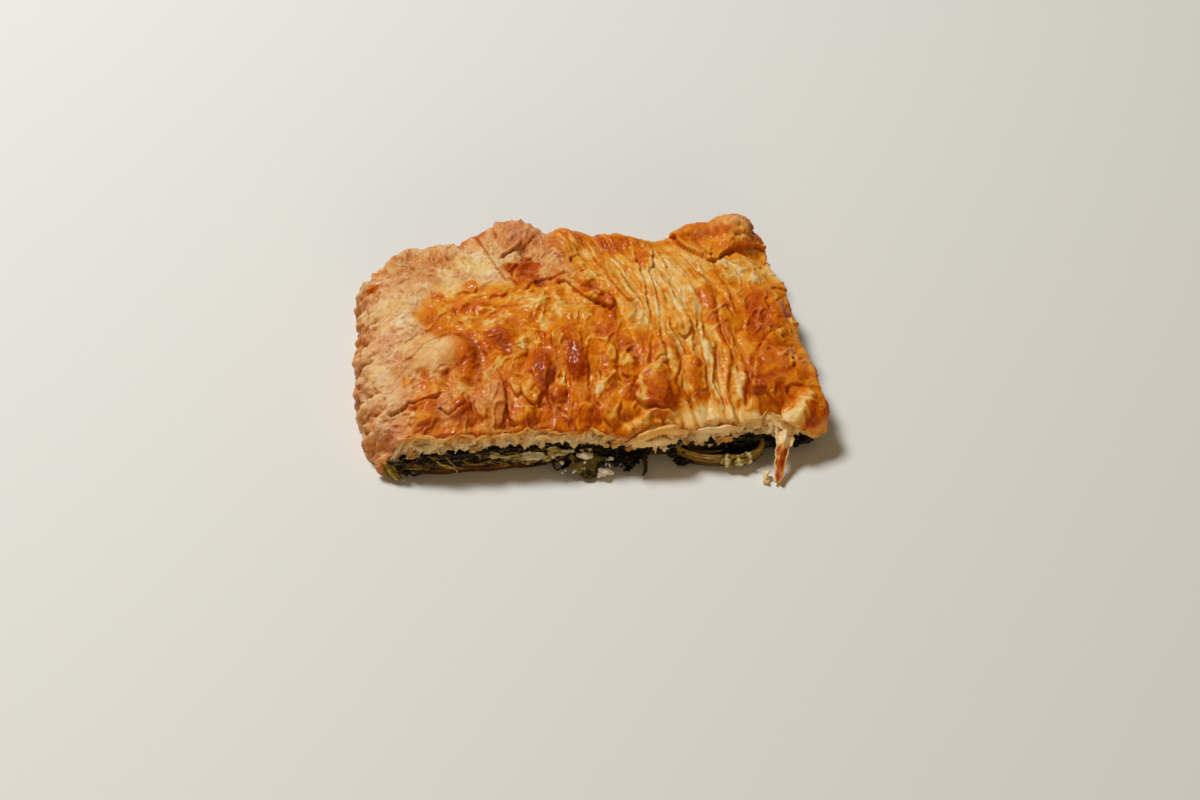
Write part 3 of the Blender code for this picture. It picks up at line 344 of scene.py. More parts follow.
relief = {
    "foldLean": 0.35,                 # how far a lapped edge leans over its crease, by height
    # lapped sheets, the upper one on the left of the run: height, ease, drop, crease, points
    "laps": (
        (1.5, 4, 0.9, 1, ((-67.5, -38), (-62.5, -36), (-60.5, -33.5), (-58.5, -34.5), (-49, -33))),
        (0.9, 3, 0.7, 0.7, ((-61, -16), (-57, -15.5), (-52.5, -11), (-44.5, -6.5), (-42, -6.5))),
        (1, 4, 0.9, 0.4, ((-18.5, 13.5), (-16, 12.5), (-13.5, 15.5), (-2, 19))),
        (2.2, 4, 1, 1, ((-11.5, 36.5), (-15, 30.5), (-19, 20), (-18.5, 13.5))),
        (1.9, 3.4, 0.8, 1.2, ((-5.5, 15.5), (-1, 14), (3, 5.5), (11.5, -1))),
        (1.8, 3.5, 1, 1.2, ((8, 41), (11, 27), (10.5, 22))),
        (1.6, 3.5, 0.9, 1, ((28.5, 19), (30, 31), (30.5, 41))),
        (2.4, 4.5, 1, 1.6, ((39.5, 48), (41.5, 45), (43, 37), (51, 27.5), (53, 28))),
        (2, 4.5, 1, 1.4, ((53, 28), (59, 34), (65, 35), (69.5, 37), (74, 37))),
        (1.8, 4, 1, 1.5, ((70, -11), (64, -16.5), (58, -25.5), (54.5, -35), (52, -44))),
        (2.2, 4, 0.9, 2, ((52.5, -42.5), (56.5, -41.5), (60, -46))),
        (1.6, 3, 0.8, 1.2, ((60, -46.5), (61.5, -53), (62, -54.5))),
        (1.6, 4, 0.9, 1.2, ((-23, 33.5), (-20, 36), (-14.5, 39.5))),
        (1, 2.4, 0.7, 0.8, ((-8.5, 30.5), (-7, 34), (-8, 43))),
        (1.1, 3, 0.7, 0.9, ((-49.5, -36.5), (-49.5, -39.5), (-47, -42), (-42.5, -39.5))),
        (1.6, 4, 0.8, 1, ((-32, -48), (-30.5, -44.5), (-29.5, -32))),
        (1.4, 3, 0.7, 1, ((-22.5, -32.5), (-22.5, -36.5), (-20, -41), (-16.5, -37.5))),
        (1.2, 2.4, 0.6, 0.8, ((-26.5, -32), (-25, -37.5), (-23, -33.5))),
        (1.2, 3, 0.7, 0.8, ((-9.5, -35.5), (-13, -38.5), (-13, -41.5))),
        (1.9, 5, 0.8, 1, ((26.5, -29), (24, -29.5), (15, -37.5), (15, -43), (24, -46))),
        (1.3, 3.5, 0.8, 0.9, ((11.5, -15.5), (4.5, -28.5), (4.5, -35.5))),
        (1.3, 3, 0.7, 0.9, ((6, -41.5), (3, -47), (5.5, -51))),
        (0.9, 2.5, 0.7, 0.7, ((10.5, -44.5), (8.5, -47.5), (8.5, -50))),
        (1.1, 3, 0.7, 0.8, ((-27, -38), (-28, -42.5), (-28, -48.5))),
        (1.2, 2.6, 0.7, 0.8, ((-25, -49.5), (-26, -49), (-31.5, -49.5))),
        (1, 2.6, 0.7, 0.8, ((-15.5, -49.5), (-18.5, -48.5), (-22, -50.5))),
        (1.3, 3.6, 0.8, 0.8, ((73, 5), (68.5, -0.5), (64.5, -8), (65, -11.5))),
        (0.9, 2, 0.6, 0.6, ((36.5, -8.5), (34, -10), (32.5, -15.5), (34, -17), (36, -15))),
        (1, 2.4, 0.6, 0.8, ((15, -25.5), (12, -28), (10.5, -31), (11, -33.5), (13, -34.5))),
        (1.2, 3, 0.8, 0.9, ((33.5, -30.5), (32, -33), (30.5, -42), (32, -44))),
        (1.2, 3, 0.8, 0.9, ((40, -19), (39, -28), (40, -31))),
        (1, 2.6, 0.7, 0.8, ((69, 12.5), (75.5, 11), (74, 4))),
        (1.1, 2.6, 0.7, 0.8, ((-67, -42.5), (-70, -43.5), (-68, -46.5))),
        (1.3, 3, 0.7, 0.8, ((-29.5, 46), (-26, 35), (-22, 17))),
        (1.4, 3.5, 0.8, 1, ((-45, -25.5), (-48.5, -25), (-50.5, -30.5))),
        (1.2, 3, 0.8, 0.9, ((13.5, 26.5), (13.5, 12.5), (19, 0.5))),
    ),
    # sunken creases: depth, half width, points
    "grooves": (
        (0.8, 0.5, ((-64, 13.5), (-61.5, 15), (-54, 12))),
        (1, 0.6, ((-59, 4), (-58.5, 2), (-53.5, -2), (-52.5, -4.5))),
        (0.8, 0.5, ((-61, 38), (-55, 32), (-53, 28.5))), (1.2, 0.7, ((-36.5, 49), (-36, 45), (-35.5, 40.5))),
        (0.9, 0.5, ((-72.5, 8), (-72, 5), (-71, 0.5))), (0.8, 0.5, ((-67.5, -3), (-66, 1.5), (-64.5, 5))),
        (0.7, 0.5, ((-64, 0), (-63, 4))), (0.7, 0.5, ((-41, 43), (-41, 29.5))),
        (0.7, 0.5, ((-49.5, 38), (-48.5, 35), (-47.5, 29.5))),
        (0.8, 0.6, ((-36, 35.5), (-36, 25), (-37, 16.5))), (0.6, 0.5, ((-44, 43), (-43.5, 30), (-43, 23.5))),
        (0.7, 0.5, ((-49, 19.5), (-47, 8.5), (-45.5, 0.5))),
        (0.8, 0.6, ((-44, 14.5), (-41.5, 0), (-38, -5.5))),
        (1.8, 1.5, ((-41.5, -8), (-37, -13.5), (-35.5, -23), (-38, -29.5), (-39, -33.5))),
        (1.6, 1, ((-43.5, -29), (-39.5, -31), (-38, -30.5))),
        (0.9, 0.5, ((-47.5, -29), (-47, -33), (-46, -39))), (0.7, 0.4, ((-70.5, -31), (-69.5, -34.5))),
        (0.6, 0.5, ((-73.5, -33.5), (-72.5, -31.5), (-74, -28.5))),
        (0.8, 0.6, ((-59.5, -37.5), (-58.5, -39.5), (-58.5, -41.5))),
        (1.1, 0.6, ((-40, -35.5), (-39.5, -41.5), (-37.5, -46))),
        (0.8, 0.5, ((-35.5, -41.5), (-35, -48), (-34.5, -49.5))),
        (0.8, 0.5, ((-68, -42), (-64.5, -43.5), (-63, -44.5))),
        (0.7, 0.5, ((-18.5, 38.5), (-16.5, 39.5), (-15, 40.5))),
        (0.8, 0.5, ((-8.5, 45.5), (-11, 42.5), (-12.5, 40))),
        (0.9, 0.5, ((1, 24.5), (2.5, 28.5), (4.5, 30.5))), (0.7, 0.4, ((1.5, 34.5), (2.5, 31.5), (3, 28.5))),
        (0.6, 0.4, ((-7.5, 41.5), (-4.5, 40), (1, 33.5), (2, 26.5))),
        (0.5, 0.4, ((-6.5, 36), (-1.5, 32), (-0.5, 24.5))),
        (0.5, 0.4, ((-6, 29), (-3.5, 29.5), (-2, 27.5), (-2, 23))),
        (0.8, 0.5, ((23, 42.5), (23, 34), (22.5, 28))), (0.8, 0.5, ((12, 45.5), (13, 38), (15, 32.5))),
        (1.4, 0.8, ((16.5, -11), (18, -9.5), (20.5, -2), (19.5, 0.5))),
        (1.2, 0.6, ((24.5, -4), (24.5, -9.5), (24, -15))), (0.9, 0.5, ((30, 18.5), (31, 6), (31, -1))),
        (0.8, 0.5, ((19.5, 24), (19.5, 14), (22, 0))), (0.9, 0.5, ((24.5, 25.5), (24.5, 9.5), (24.5, -4))),
        (0.8, 0.5, ((43.5, 34.5), (46, 31.5), (47.5, 29))), (0.7, 0.4, ((46, 44.5), (48, 39), (52, 31.5))),
        (1, 0.5, ((52, 25.5), (54.5, 17), (55.5, 14.5))), (0.7, 0.5, ((58, 39), (66, 37.5), (74, 38))),
        (1, 0.6, ((51.5, -0.5), (52.5, -3.5), (53.5, -6.5))),
        (0.9, 0.5, ((32, -27.5), (28.5, -39), (34.5, -50))),
        (0.8, 0.6, ((40, -9), (37.5, -21.5), (37.5, -26))),
        (1.1, 0.7, ((51, -21), (47.5, -33.5), (45.5, -45.5), (46.5, -53))),
        (0.9, 0.6, ((53, -32), (50.5, -43.5), (49.5, -48))),
        (0.9, 0.6, ((40, -30), (39, -35.5), (39.5, -43), (41.5, -48.5))),
        (0.8, 0.6, ((29, -9), (28.5, -15.5), (32.5, -26))),
        (0.8, 0.5, ((-15, -34), (-14.5, -38), (-13.5, -44.5))),
        (0.6, 0.5, ((-11.5, -44.5), (-8.5, -48), (-8.5, -51))),
        (0.9, 0.7, ((1, -35.5), (-0.5, -42), (1, -45))), (0.7, 0.6, ((0, -24), (0.5, -31.5), (-0.5, -34))),
        (0.7, 0.6, ((-24, -16), (-22, -19), (-19, -20), (-15.5, -19))),
        (0.8, 0.6, ((-14, -9), (-13.5, -18.5), (-12, -20.5))),
        (0.8, 0.5, ((35.5, 24), (40, 15), (42.5, 4.5))),
        (0.7, 0.4, ((35, 38.5), (37.5, 32.5), (43, 24.5), (45.5, 20))),
        (0.7, 0.5, ((32.5, 18.5), (33.5, 12), (34.5, 1.5))), (0.8, 0.5, ((36.5, 7), (37.5, -3), (39, -7))),
        (0.9, 0.6, ((45, -19), (43.5, -29.5), (44, -34))),
    ),
    # raised edges: height, half width, change of browning, points
    "ridges": (
        (1.7, 1.1, -0.45, ((8, -53.5), (13, -51.5), (16, -49), (21, -47.5), (26, -49.5), (27.5, -52.5))),
        (0.8, 0.7, -0.3, ((10.5, -54.5), (12.5, -53), (17, -51))),
        (0.9, 0.8, -0.5, ((2, -35.5), (0.5, -41.5), (2, -43.5))),
        (0.6, 0.5, -0.35, ((-47.5, -28), (-46, -35.5), (-45.5, -38.5))),
        (0.6, 0.5, -0.3, ((-22.5, -44), (-20, -42.5), (-16, -41))),
        (0.8, 0.7, -0.5, ((30, -9), (29.5, -16), (33.5, -26.5))),
        (0.8, 0.7, -0.5, ((36, -16.5), (35.5, -20.5), (35.5, -28.5))),
        (0.9, 0.7, -0.5, ((41.5, -29.5), (40, -35.5), (40.5, -43), (42.5, -49))),
        (0.6, 0.5, -0.4, ((50.5, -14), (50, -19), (49.5, -24))),
        (1, 1.3, -0.6, ((51, -33.5), (48.5, -41.5), (48.5, -45.5))),
        (0.7, 0.6, -0.5, ((57, -29.5), (55.5, -33), (53, -42.5))),
        (0.7, 0.6, -0.4, ((50, 10), (52, 3), (53.5, -5.5))),
        (0.6, 0.5, -0.45, ((42.5, -9.5), (45.5, -6), (50.5, -0.5))),
        (0.6, 0.5, -0.45, ((43.5, -14.5), (48, -10.5), (51, -8))),
        (0.6, 0.5, -0.4, ((38.5, -11), (38.5, -16), (37, -21))),
        (0.6, 0.5, -0.4, ((40.5, -10), (40.5, -15.5), (39, -21))),
        (0.8, 0.7, -0.4, ((23, -15.5), (20, -26), (18, -31))),
        (0.9, 0.6, -0.35, ((27, 21.5), (27, 14), (27, -2), (25, -18))),
        (0.8, 0.6, -0.35, ((23.5, 32.5), (24, 16), (24, 6.5), (23.5, -6.5))),
        (0.8, 0.6, -0.35, ((32, 34.5), (33.5, 15.5), (33, 0.5))),
        (0.7, 0.6, -0.3, ((15.5, 26), (18, 10), (21.5, 1), (22.5, -5))),
        (0.6, 0.5, -0.3, ((3.5, 26.5), (7.5, 16.5), (13, 9))),
        (0.6, 0.5, -0.3, ((12, 41), (14, 33.5), (15.5, 28.5))),
        (0.6, 0.5, -0.4, ((25, 41), (26.5, 34.5), (27.5, 28))),
        (0.6, 0.6, -0.5, ((24, 35), (23, 29), (23, 24))),
        (0.8, 0.6, -0.3, ((34.5, 26.5), (39, 15.5), (41, 9.5))),
        (0.7, 0.6, -0.3, ((36.5, 39), (39.5, 32.5), (45, 24), (46.5, 17))),
        (0.7, 0.6, -0.3, ((34.5, 12), (36, 6.5), (38, -4))),
        (1.5, 1.5, -0.8, ((69, -40), (63, -50.5), (63.5, -54))),
        (0.7, 0.6, -0.5, ((63.5, -50), (66, -52.5), (70, -54.5))),
        (0.5, 0.5, -0.5, ((66, -30.5), (68.5, -30), (70.5, -29.5))),
        (0.6, 0.5, -0.3, ((-28.5, 45), (-26.5, 38.5), (-23.5, 24.5))),
        (0.5, 0.5, -0.3, ((-49, 18), (-48, 14), (-47, 5.5))),
        (0.6, 0.5, -0.4, ((-7, -26.5), (-7, -23.5), (-6, -22.5))),
        (0.6, 0.8, -0.5, ((-8, -30.5), (-9.5, -34), (-9.5, -36.5))),
        (0.6, 0.6, -0.3, ((-13, -11), (-12.5, -15.5), (-13.5, -18.5))),
        (0.7, 0.8, 0, ((-29, -23.5), (-21, -21.5), (-19, -22))),
        (0.9, 0.9, 0.4, ((0.5, 14), (11, 3.5), (12, -0.5), (11.5, -8.5))),
        (0.7, 0.5, -0.2, ((-4.5, 18), (-1.5, 19.5), (3, 17))),
        (0.6, 0.6, -0.4, ((-67, -1.5), (-65.5, 2.5), (-64, 5.5))),
        (0.7, 0.5, -0.3, ((45, -21), (45, -25.5), (44, -30.5))),
    ),
    # blisters: centre, half length, half width, height, change of browning
    "blisters": (
        ((-18.7, -15.1), 1.7, 3, 0.9, 0.1), ((-10, -18.1), 1.7, 2.5, 0.8, -0.3),
        ((-16.2, -28.6), 3.1, 7.5, 1.2, 0.55), ((-3.9, -28.1), 3.1, 8.5, 1.2, 0.5),
        ((-10.3, -39.3), 3.4, 4, 0.8, 0.1), ((-24.9, -34.4), 1.4, 3.5, 0.5, -0.25),
        ((-19.5, -36.8), 2, 4.5, 0.6, -0.3), ((-3.4, -43.9), 1.4, 2, 0.8, -0.15),
        ((-1.8, -47.4), 4.1, 3.5, 0.7, 0.3), ((7.6, -28.6), 2.4, 10, 1, -0.1),
        ((13.6, -21), 1.7, 3.5, 0.7, 0.15), ((12.4, -38.8), 3.1, 4.5, 0.8, 0.1),
        ((5.4, -47.2), 2.7, 5.5, 0.6, -0.1), ((11.9, -48), 3.4, 4.5, 0.6, 0),
        ((21.4, -40.2), 4.8, 8.5, 1.2, 0.15), ((34.6, -38.6), 3.1, 5.5, 0.9, 0.35),
        ((41.3, -24.1), 1.7, 4.5, 1, -0.5), ((57.2, -38.9), 3.4, 4, 1.4, 0.5),
        ((69.9, -5.4), 3.7, 8, 1, 0.15), ((66.3, -47.5), 2, 4, 1.2, 0.1), ((35.6, -30.2), 1.7, 2, 0.9, 0.5),
        ((34.7, -13.5), 2, 4, 0.7, 0), ((-42.9, -42), 2.4, 4.5, 0.9, 0.3),
        ((-54.2, -40.5), 3.7, 6, 0.8, 0.25), ((-38.9, -49.2), 2.7, 2, 0.7, 0.15),
        ((-65.4, -45.1), 2.7, 3.5, 0.6, 0.2), ((39.5, -2.1), 1.7, 4, 0.7, -0.3),
        ((50.6, 44.9), 3.1, 3.5, 0.8, 0.2), ((1.9, -52.5), 2, 2.5, 0.8, 0),
        ((32.2, -53.3), 2.7, 2.5, 0.8, -0.2), ((38, -52.5), 1.7, 3.5, 0.8, -0.3),
        ((-50.3, 5.3), 1.7, 2.5, 0.6, 0.1), ((-64.6, 33.3), 1.7, 2.5, 0.5, 0.1),
        ((-50.2, 30.9), 1.4, 2, 0.5, 0.1), ((-63.9, 28.5), 1.7, 2.5, 0.6, 0),
        ((-41.5, 16.5), 2, 3, 0.6, -0.1), ((-4.9, 8.6), 2.7, 2.5, 0.6, 0.1),
        ((-35.2, 15.1), 2, 2.5, 0.5, 0.1), ((-25.9, 11.2), 1.7, 2.5, 0.5, 0.1),
        ((-13.4, 9), 2.4, 2.5, 0.6, 0), ((60.7, 40.8), 2, 3.5, 0.8, 0.1), ((61.2, 22.2), 1.7, 2, 0.6, -0.3),
        ((-23.3, -45.8), 3.4, 2.5, 0.6, 0), ((49.5, -38.9), 2, 5, 0.6, 0),
    ),
    "pleatPitch": 5.4,
    "pleatHeight": 1.5,
    "pleatBend": 11.0,
    "ruffleHeight": 0.8,
    "lipRelief": (-0.6, 1.8),
    # how the small wrinkles run: middle and reach of each stretch, heading in degrees, pitch and
    # how many times longer than wide they are
    "flows": (
        ((-66, -12), 18, 40, 4.2, 2.6), ((-62, 34), 16, 62, 3.6, 2.2), ((-58, -42), 12, 20, 3.4, 2.2),
        ((-40, 38), 14, 112, 3.4, 2.6), ((-38, -34), 12, 80, 4.4, 2), ((-16, -34), 14, 92, 4.4, 2.2),
        ((-14, 40), 12, 50, 3, 2.2), ((4, 44), 12, 118, 3.4, 3.6), ((-26, 8), 14, 15, 3.6, 2),
        ((-4, 8), 14, 65, 3.8, 1.8), ((8, -30), 12, 80, 4.6, 2), ((60, 44), 14, 150, 3.6, 3),
        ((64, 4), 12, 75, 4, 2.4), ((66, -34), 12, 60, 4.6, 2),
    ),
    # patches of matte skin: centre, half length, half width, how matte
    "skins": ((-49, -15, 8, 8, 0.85), (-53, -24, 7, 5, 0.8), (69, -53, 9, 4, 0.4), (-50, -42, 11, 9, 0.5),
              (-33, -38, 8, 11, 0.4), (-16, 44, 10, 9, 0.8), (64, 47, 9, 8, 0.5)),
    # smooth patches: centre, half length, half width
    "calm": ((-46, -15, 11, 8), (56.5, -48.6, 4.8, 5.6), (20, -45, 6, 4)),
    # lapped flakes, large and small: pitch, steps, seed, height, how dark their feet are as painted
    # shade, how many there are on plain skin and more on matte, and level, pitch and seed of the noise
    # between them
    "flakes": ((12.0, 2.4, 392, 0.55, 0.75, 0.25, 0.75, 0.35, 9.0, 396),
               (6.5, 1.6, 394, 0.4, 0.6, 0.15, 0.6, 0.3, 7.0, 397)),
    "ridgeHeight": 0.7,
    "puffHeight": 1.7,
    "bumpPitch": 2.7,
    "bumpHeight": 0.42,
    "swell": 0.5,
    "grain": 0.10,
    "layerPitch": 0.95,
    "layerDepth": 0.22,
    "layerRecess": 1.9,
    "lowest": 0.25,
}

# Browned patches: centre, half length, half width, browning from 0, pale, to 1, dark, and strength
browning = {
    "patches": (
        (-52, 34, 13, 12, 0.64, 0.7), (23, 10, 15.3, 22.5, 0.28, 0.9), (39, 19, 11.9, 15, 0.26, 0.9),
        (37, -32, 10.2, 30, 0.4, 0.6), (-28, 27, 9.5, 11, 0.16, 0.8), (-38, 44, 4.1, 7, 0.28, 0.7),
        (-10, -16, 22.1, 18, 0.58, 0.8), (-11, -41, 25.5, 15, 0.62, 0.9), (-7, 5, 15.3, 7.5, 0.42, 0.8),
        (61, -6, 9.5, 17.5, 0.74, 0.9), (63, -38, 12.9, 21, 0.68, 0.9), (65, 21, 11.6, 7, 0.42, 0.85),
        (74, 23, 2.4, 7, 0.28, 0.8), (46, 43, 8.2, 7, 0.72, 0.8), (64, 42, 8.8, 9, 0.6, 0.8),
        (73, 40, 4.1, 4.5, 0.74, 0.8), (-16, 43, 8.2, 7, 0.64, 0.8), (-3, 32, 8.2, 11, 0.5, 0.8),
        (19, 37, 4.8, 6.5, 0.74, 0.8), (26, 28, 2.7, 7.5, 0.78, 0.85), (9, 33, 4.1, 4, 0.2, 0.8),
        (18, 25, 3.1, 3, 0.22, 0.8), (-13, 24, 4.1, 7, 0.9, 0.95), (-7, 21, 3, 3, 0.56, 0.7),
        (-17, 17, 2.7, 3.5, 0.88, 0.9), (5, 8, 4.8, 2.5, 0.74, 0.8), (11, -2, 3.7, 7, 0.76, 0.85),
        (-53, -18, 4.8, 8, 0.2, 0.8), (-45, -19, 4.8, 7, 0.46, 0.8), (-40, -21, 3.7, 8.5, 0.66, 0.85),
        (-41, -10, 7.5, 2.5, 0.8, 0.8), (-36, -21, 1.4, 10, 0.88, 0.85), (-36, 5, 6.8, 3, 0.9, 0.9),
        (-46, 16, 1.7, 2.5, 0.9, 0.8), (-46, -2, 4.8, 5, 0.68, 0.8), (-28, -15, 4.8, 6, 0.88, 0.9),
        (-4, -26, 3.4, 8.5, 0.88, 0.9), (-16, -29, 3.1, 8, 0.86, 0.9), (-12, -22, 3.1, 2.5, 0.8, 0.8),
        (-17, -4, 3.4, 3, 0.76, 0.8), (9, -12, 4.1, 6, 0.76, 0.85), (-26, -23, 4.8, 2, 0.42, 0.7),
        (-54, -41, 4.4, 7.5, 0.66, 0.8), (-56, -36, 6.1, 2, 0.74, 0.7), (-62, -42, 3.4, 2, 0.58, 0.7),
        (-50, -48, 6.1, 1.5, 0.68, 0.7), (-43, -42, 2.4, 5, 0.8, 0.85), (-47, -34, 2, 5, 0.6, 0.7),
        (-41, -33, 1.7, 3.5, 0.25, 0.8), (-35, -41, 3.7, 8.5, 0.42, 0.8), (-29, -39, 1.4, 11, 0.82, 0.85),
        (-39, -49, 2.4, 2, 0.64, 0.8), (-23, -46, 4.4, 5, 0.68, 0.8), (-25, -34, 1.4, 4, 0.28, 0.8),
        (-20, -37, 2.4, 5, 0.42, 0.7), (-10, -39, 3.1, 4, 0.78, 0.85), (-9, -33, 1.4, 3, 0.18, 0.8),
        (-15, -39, 1, 6.5, 0.82, 0.8), (-2, -47, 4.4, 3.5, 0.74, 0.8), (-3, -44, 1.7, 2, 0.4, 0.8),
        (8, -29, 2.7, 10, 0.44, 0.9), (4, -31, 1, 6.5, 0.22, 0.8), (2, -39, 1, 4.5, 0.04, 0.9),
        (13, -21, 2.7, 4.5, 0.7, 0.8), (12, -31, 2, 4.5, 0.2, 0.8), (12, -39, 3.4, 5.5, 0.68, 0.8),
        (5, -47, 3.1, 6, 0.46, 0.8), (12, -48, 3.7, 4.5, 0.5, 0.8), (21, -49.5, 7, 2.4, 0.42, 0.85),
        (22, -41, 5.1, 8.5, 0.66, 0.9), (16, -41, 1.4, 5.5, 0.02, 0.9), (21, -33, 3.4, 2, 0.18, 0.8),
        (26, -23, 4.1, 3.5, 0.74, 0.8), (26, -27, 3.1, 2.5, 0.14, 0.8), (41, -24, 2, 5.5, 0.06, 0.9),
        (36, -21, 1, 6, 0.15, 0.8), (35, -39, 3.1, 6, 0.7, 0.85), (36, -30, 1.7, 2, 0.88, 0.8),
        (49, -39, 1.2, 7.5, 0.1, 0.9), (38, -36, 1, 6, 0.25, 0.7), (41, -39, 1, 10, 0.15, 0.7),
        (44, -39, 1.7, 7.5, 0.55, 0.6), (45, 2, 2.7, 7, 0.8, 0.85), (46, -9, 3.4, 3.5, 0.8, 0.8),
        (48, -18, 2.4, 4.5, 0.82, 0.8), (59, -15, 4.4, 7, 0.84, 0.9), (61, -4, 2.7, 9.5, 0.9, 0.9),
        (35, -13, 1.7, 4, 0.14, 0.9), (32, -12, 1, 3, 0.5, 0.7), (40, -2, 1.7, 4, 0.04, 0.85),
        (44, 16, 3.1, 2.5, 0.68, 0.8), (50, 18, 3.1, 2, 0.62, 0.7), (57, 26, 3.1, 3, 0.12, 0.8),
        (61, 22, 1.7, 2, 0.06, 0.8), (34, 2, 2.7, 6, 0.14, 0.7), (58, -39, 4.4, 4.5, 0.86, 0.85),
        (61, -43, 2.7, 2.5, 0.84, 0.8), (69, -13, 3.7, 2, 0.46, 0.7), (72, -33, 2, 7, 0.76, 0.7),
        (56, -46, 5.4, 4, 0.5, 0.8), (57, -54, 6.1, 3, 0.08, 0.85), (66, -48, 2.4, 5.5, 0.86, 0.9),
        (71, -54, 3.1, 4.5, 0.32, 0.8), (47, -52, 4.1, 3.5, 0.2, 0.7), (34, -53, 4.8, 3, 0.34, 0.7),
        (39, -53, 3.1, 4.5, 0.14, 0.8), (-75, 3, 2.4, 12, 0.52, 0.7), (-70, 40, 1.7, 3, 0.66, 0.8),
        (-71, 28, 1.4, 2.5, 0.7, 0.8), (-48, 49, 4.8, 4, 0.54, 0.7), (-56, 30, 3.4, 4.5, 0.58, 0.7),
        (-65, 33, 2, 3, 0.44, 0.8), (-54, 11, 4.8, 1.5, 0.52, 0.6), (-65, -45, 3.7, 4, 0.56, 0.7),
        (-56, -28, 3.4, 4, 0.44, 0.6), (-59, -20, 2.7, 3, 0.5, 0.6), (-68, -25, 4.1, 4.5, 0.2, 0.7),
        (-67, -14, 4.1, 6, 0.22, 0.6), (-42, 19, 3.1, 6, 0.14, 0.8), (-50, 23, 1.7, 2.5, 0.18, 0.7),
        (-31, -4, 1.7, 3, 0.02, 0.9), (-7, -3, 2, 3, 0.05, 0.8), (2, 0, 2.4, 2, 0.2, 0.7),
        (-24, -2, 2, 2, 0.14, 0.8), (-12, -8, 1.4, 4.5, 0.08, 0.8), (-38, -2, 1.7, 3, 0.24, 0.7),
        (-50, 5, 2, 3, 0.64, 0.8), (-47, 20, 1.7, 3, 0.64, 0.8), (-35, 15, 2, 2.5, 0.58, 0.8),
        (-26, 11, 2.4, 2.5, 0.68, 0.8), (-13, 9, 2.7, 2.5, 0.64, 0.8), (-5, 9, 3.1, 3, 0.66, 0.8),
        (1, -4, 2, 2.5, 0.46, 0.7), (-28, 49, 3.1, 2.5, 0.72, 0.8), (-41, 27, 2.7, 7, 0.6, 0.7),
        (-19, -16, 3.1, 3.5, 0.3, 0.7), (-10, -18, 1.7, 2.5, 0.26, 0.7), (-17, 25, 6.4, 6.5, 0.92, 0.95),
        (-13, 16.5, 4.2, 4.5, 0.92, 0.95), (64.8, -46, 1.1, 4, 0.04, 0.9), (63, -51, 1.4, 3, 0.04, 0.9),
        (73, -52, 4.2, 4.6, 0.22, 0.95), (68.6, -46.5, 2.2, 4, 0.7, 0.95), (58, -46.5, 4.8, 4, 0.56, 0.9),
        (54, -51.5, 7, 2.2, 0.08, 0.95), (34, -50, 12, 3, 0.2, 0.8), (-49, -14, 5, 6, 0.16, 0.8),
        (-43.5, -17, 2.5, 6, 0.5, 0.8), (-65, 35, 4, 4.5, 0.62, 0.7), (-36, 49, 3, 5, 0.7, 0.7),
        (-29, 49, 3.2, 4, 0.72, 0.8), (-51, 5, 3, 6, 0.66, 0.8), (-48, -4, 2.6, 5, 0.7, 0.75),
        (-35, 16, 2.4, 3, 0.7, 0.8), (-60, -26, 2.6, 3.6, 0.66, 0.7), (-54, -27, 2.4, 4.5, 0.7, 0.8),
        (-70, 23, 2.6, 3, 0.6, 0.7), (-74, 10, 2.6, 3.4, 0.6, 0.7), (-52, 42, 2.4, 3.4, 0.62, 0.7),
        (-62, -6, 4, 2.4, 0.56, 0.7), (-34, 33, 4, 6, 0.1, 0.8), (-59, 6, 3.6, 3.2, 0.04, 0.8),
        (-43, 26, 3, 4.4, 0.12, 0.8), (-59, 14, 3.4, 3.6, 0.14, 0.7),
    ),
    # rosy stretches of matte skin, or yellow below 0: centre, reach, how much
    "rosy": (
        (-80, -8, 12, 0.9), (-76, 30, 9, 0.5), (-16, 48, 10, 0.8), (-68, -48, 11, 0.7), (-52, -40, 8, 0.4),
        (-33, -36, 7, 0.6), (-38, 28, 13, -0.45), (-45, -17, 10, -0.5), (-60, 10, 10, -0.15),
        (-28, 34, 9, -0.3),
    ),
    "plain": 0.41,
    "middle": 0.56,
    # how much paler unglazed edges and lines are: in part a painted highlight
    "bareAndHighlitLines": 0.24,
    # how much paler crinkle tops and browner their dips: in part painted highlight and shade
    "highPale": 0.15,
    # how much browner steep slopes turn: painted shade
    "slope": 0.28,
    "glazedAbove": 0.64,              # patches browner than this shine
}


# Broad lumps: a bell curve with a flat top, by the turned distance from each centre.
def lumpRelief(x, y):
    total = np.zeros_like(x)
    for (cx, cy), halfLength, halfWidth, turn, height in lumps:
        total += height * bell(*turned(x - cx, y - cy, turn), 0.0, 0.0, halfLength, halfWidth, 1.3)
    return total


# A smooth run through points: a Catmull-Rom curve, read at even steps.
def smoothRun(points, perSpan):
    knots = np.array(points, dtype=float)
    knots = np.concatenate([[2 * knots[0] - knots[1]], knots, [2 * knots[-1] - knots[-2]]])
    share = np.linspace(0.0, 1.0, perSpan, endpoint=False)[:, None]
    p0, p1, p2, p3 = (knots[i:len(knots) - 3 + i, None] for i in range(4))
    curve = 0.5 * (2 * p1 + (p2 - p0) * share + (2 * p0 - 5 * p1 + 4 * p2 - p3) * share ** 2
                   + (3 * p1 - p0 - 3 * p2 + p3) * share ** 3)
    return np.concatenate([curve.reshape(-1, knots.shape[1]), knots[-2:-1]])


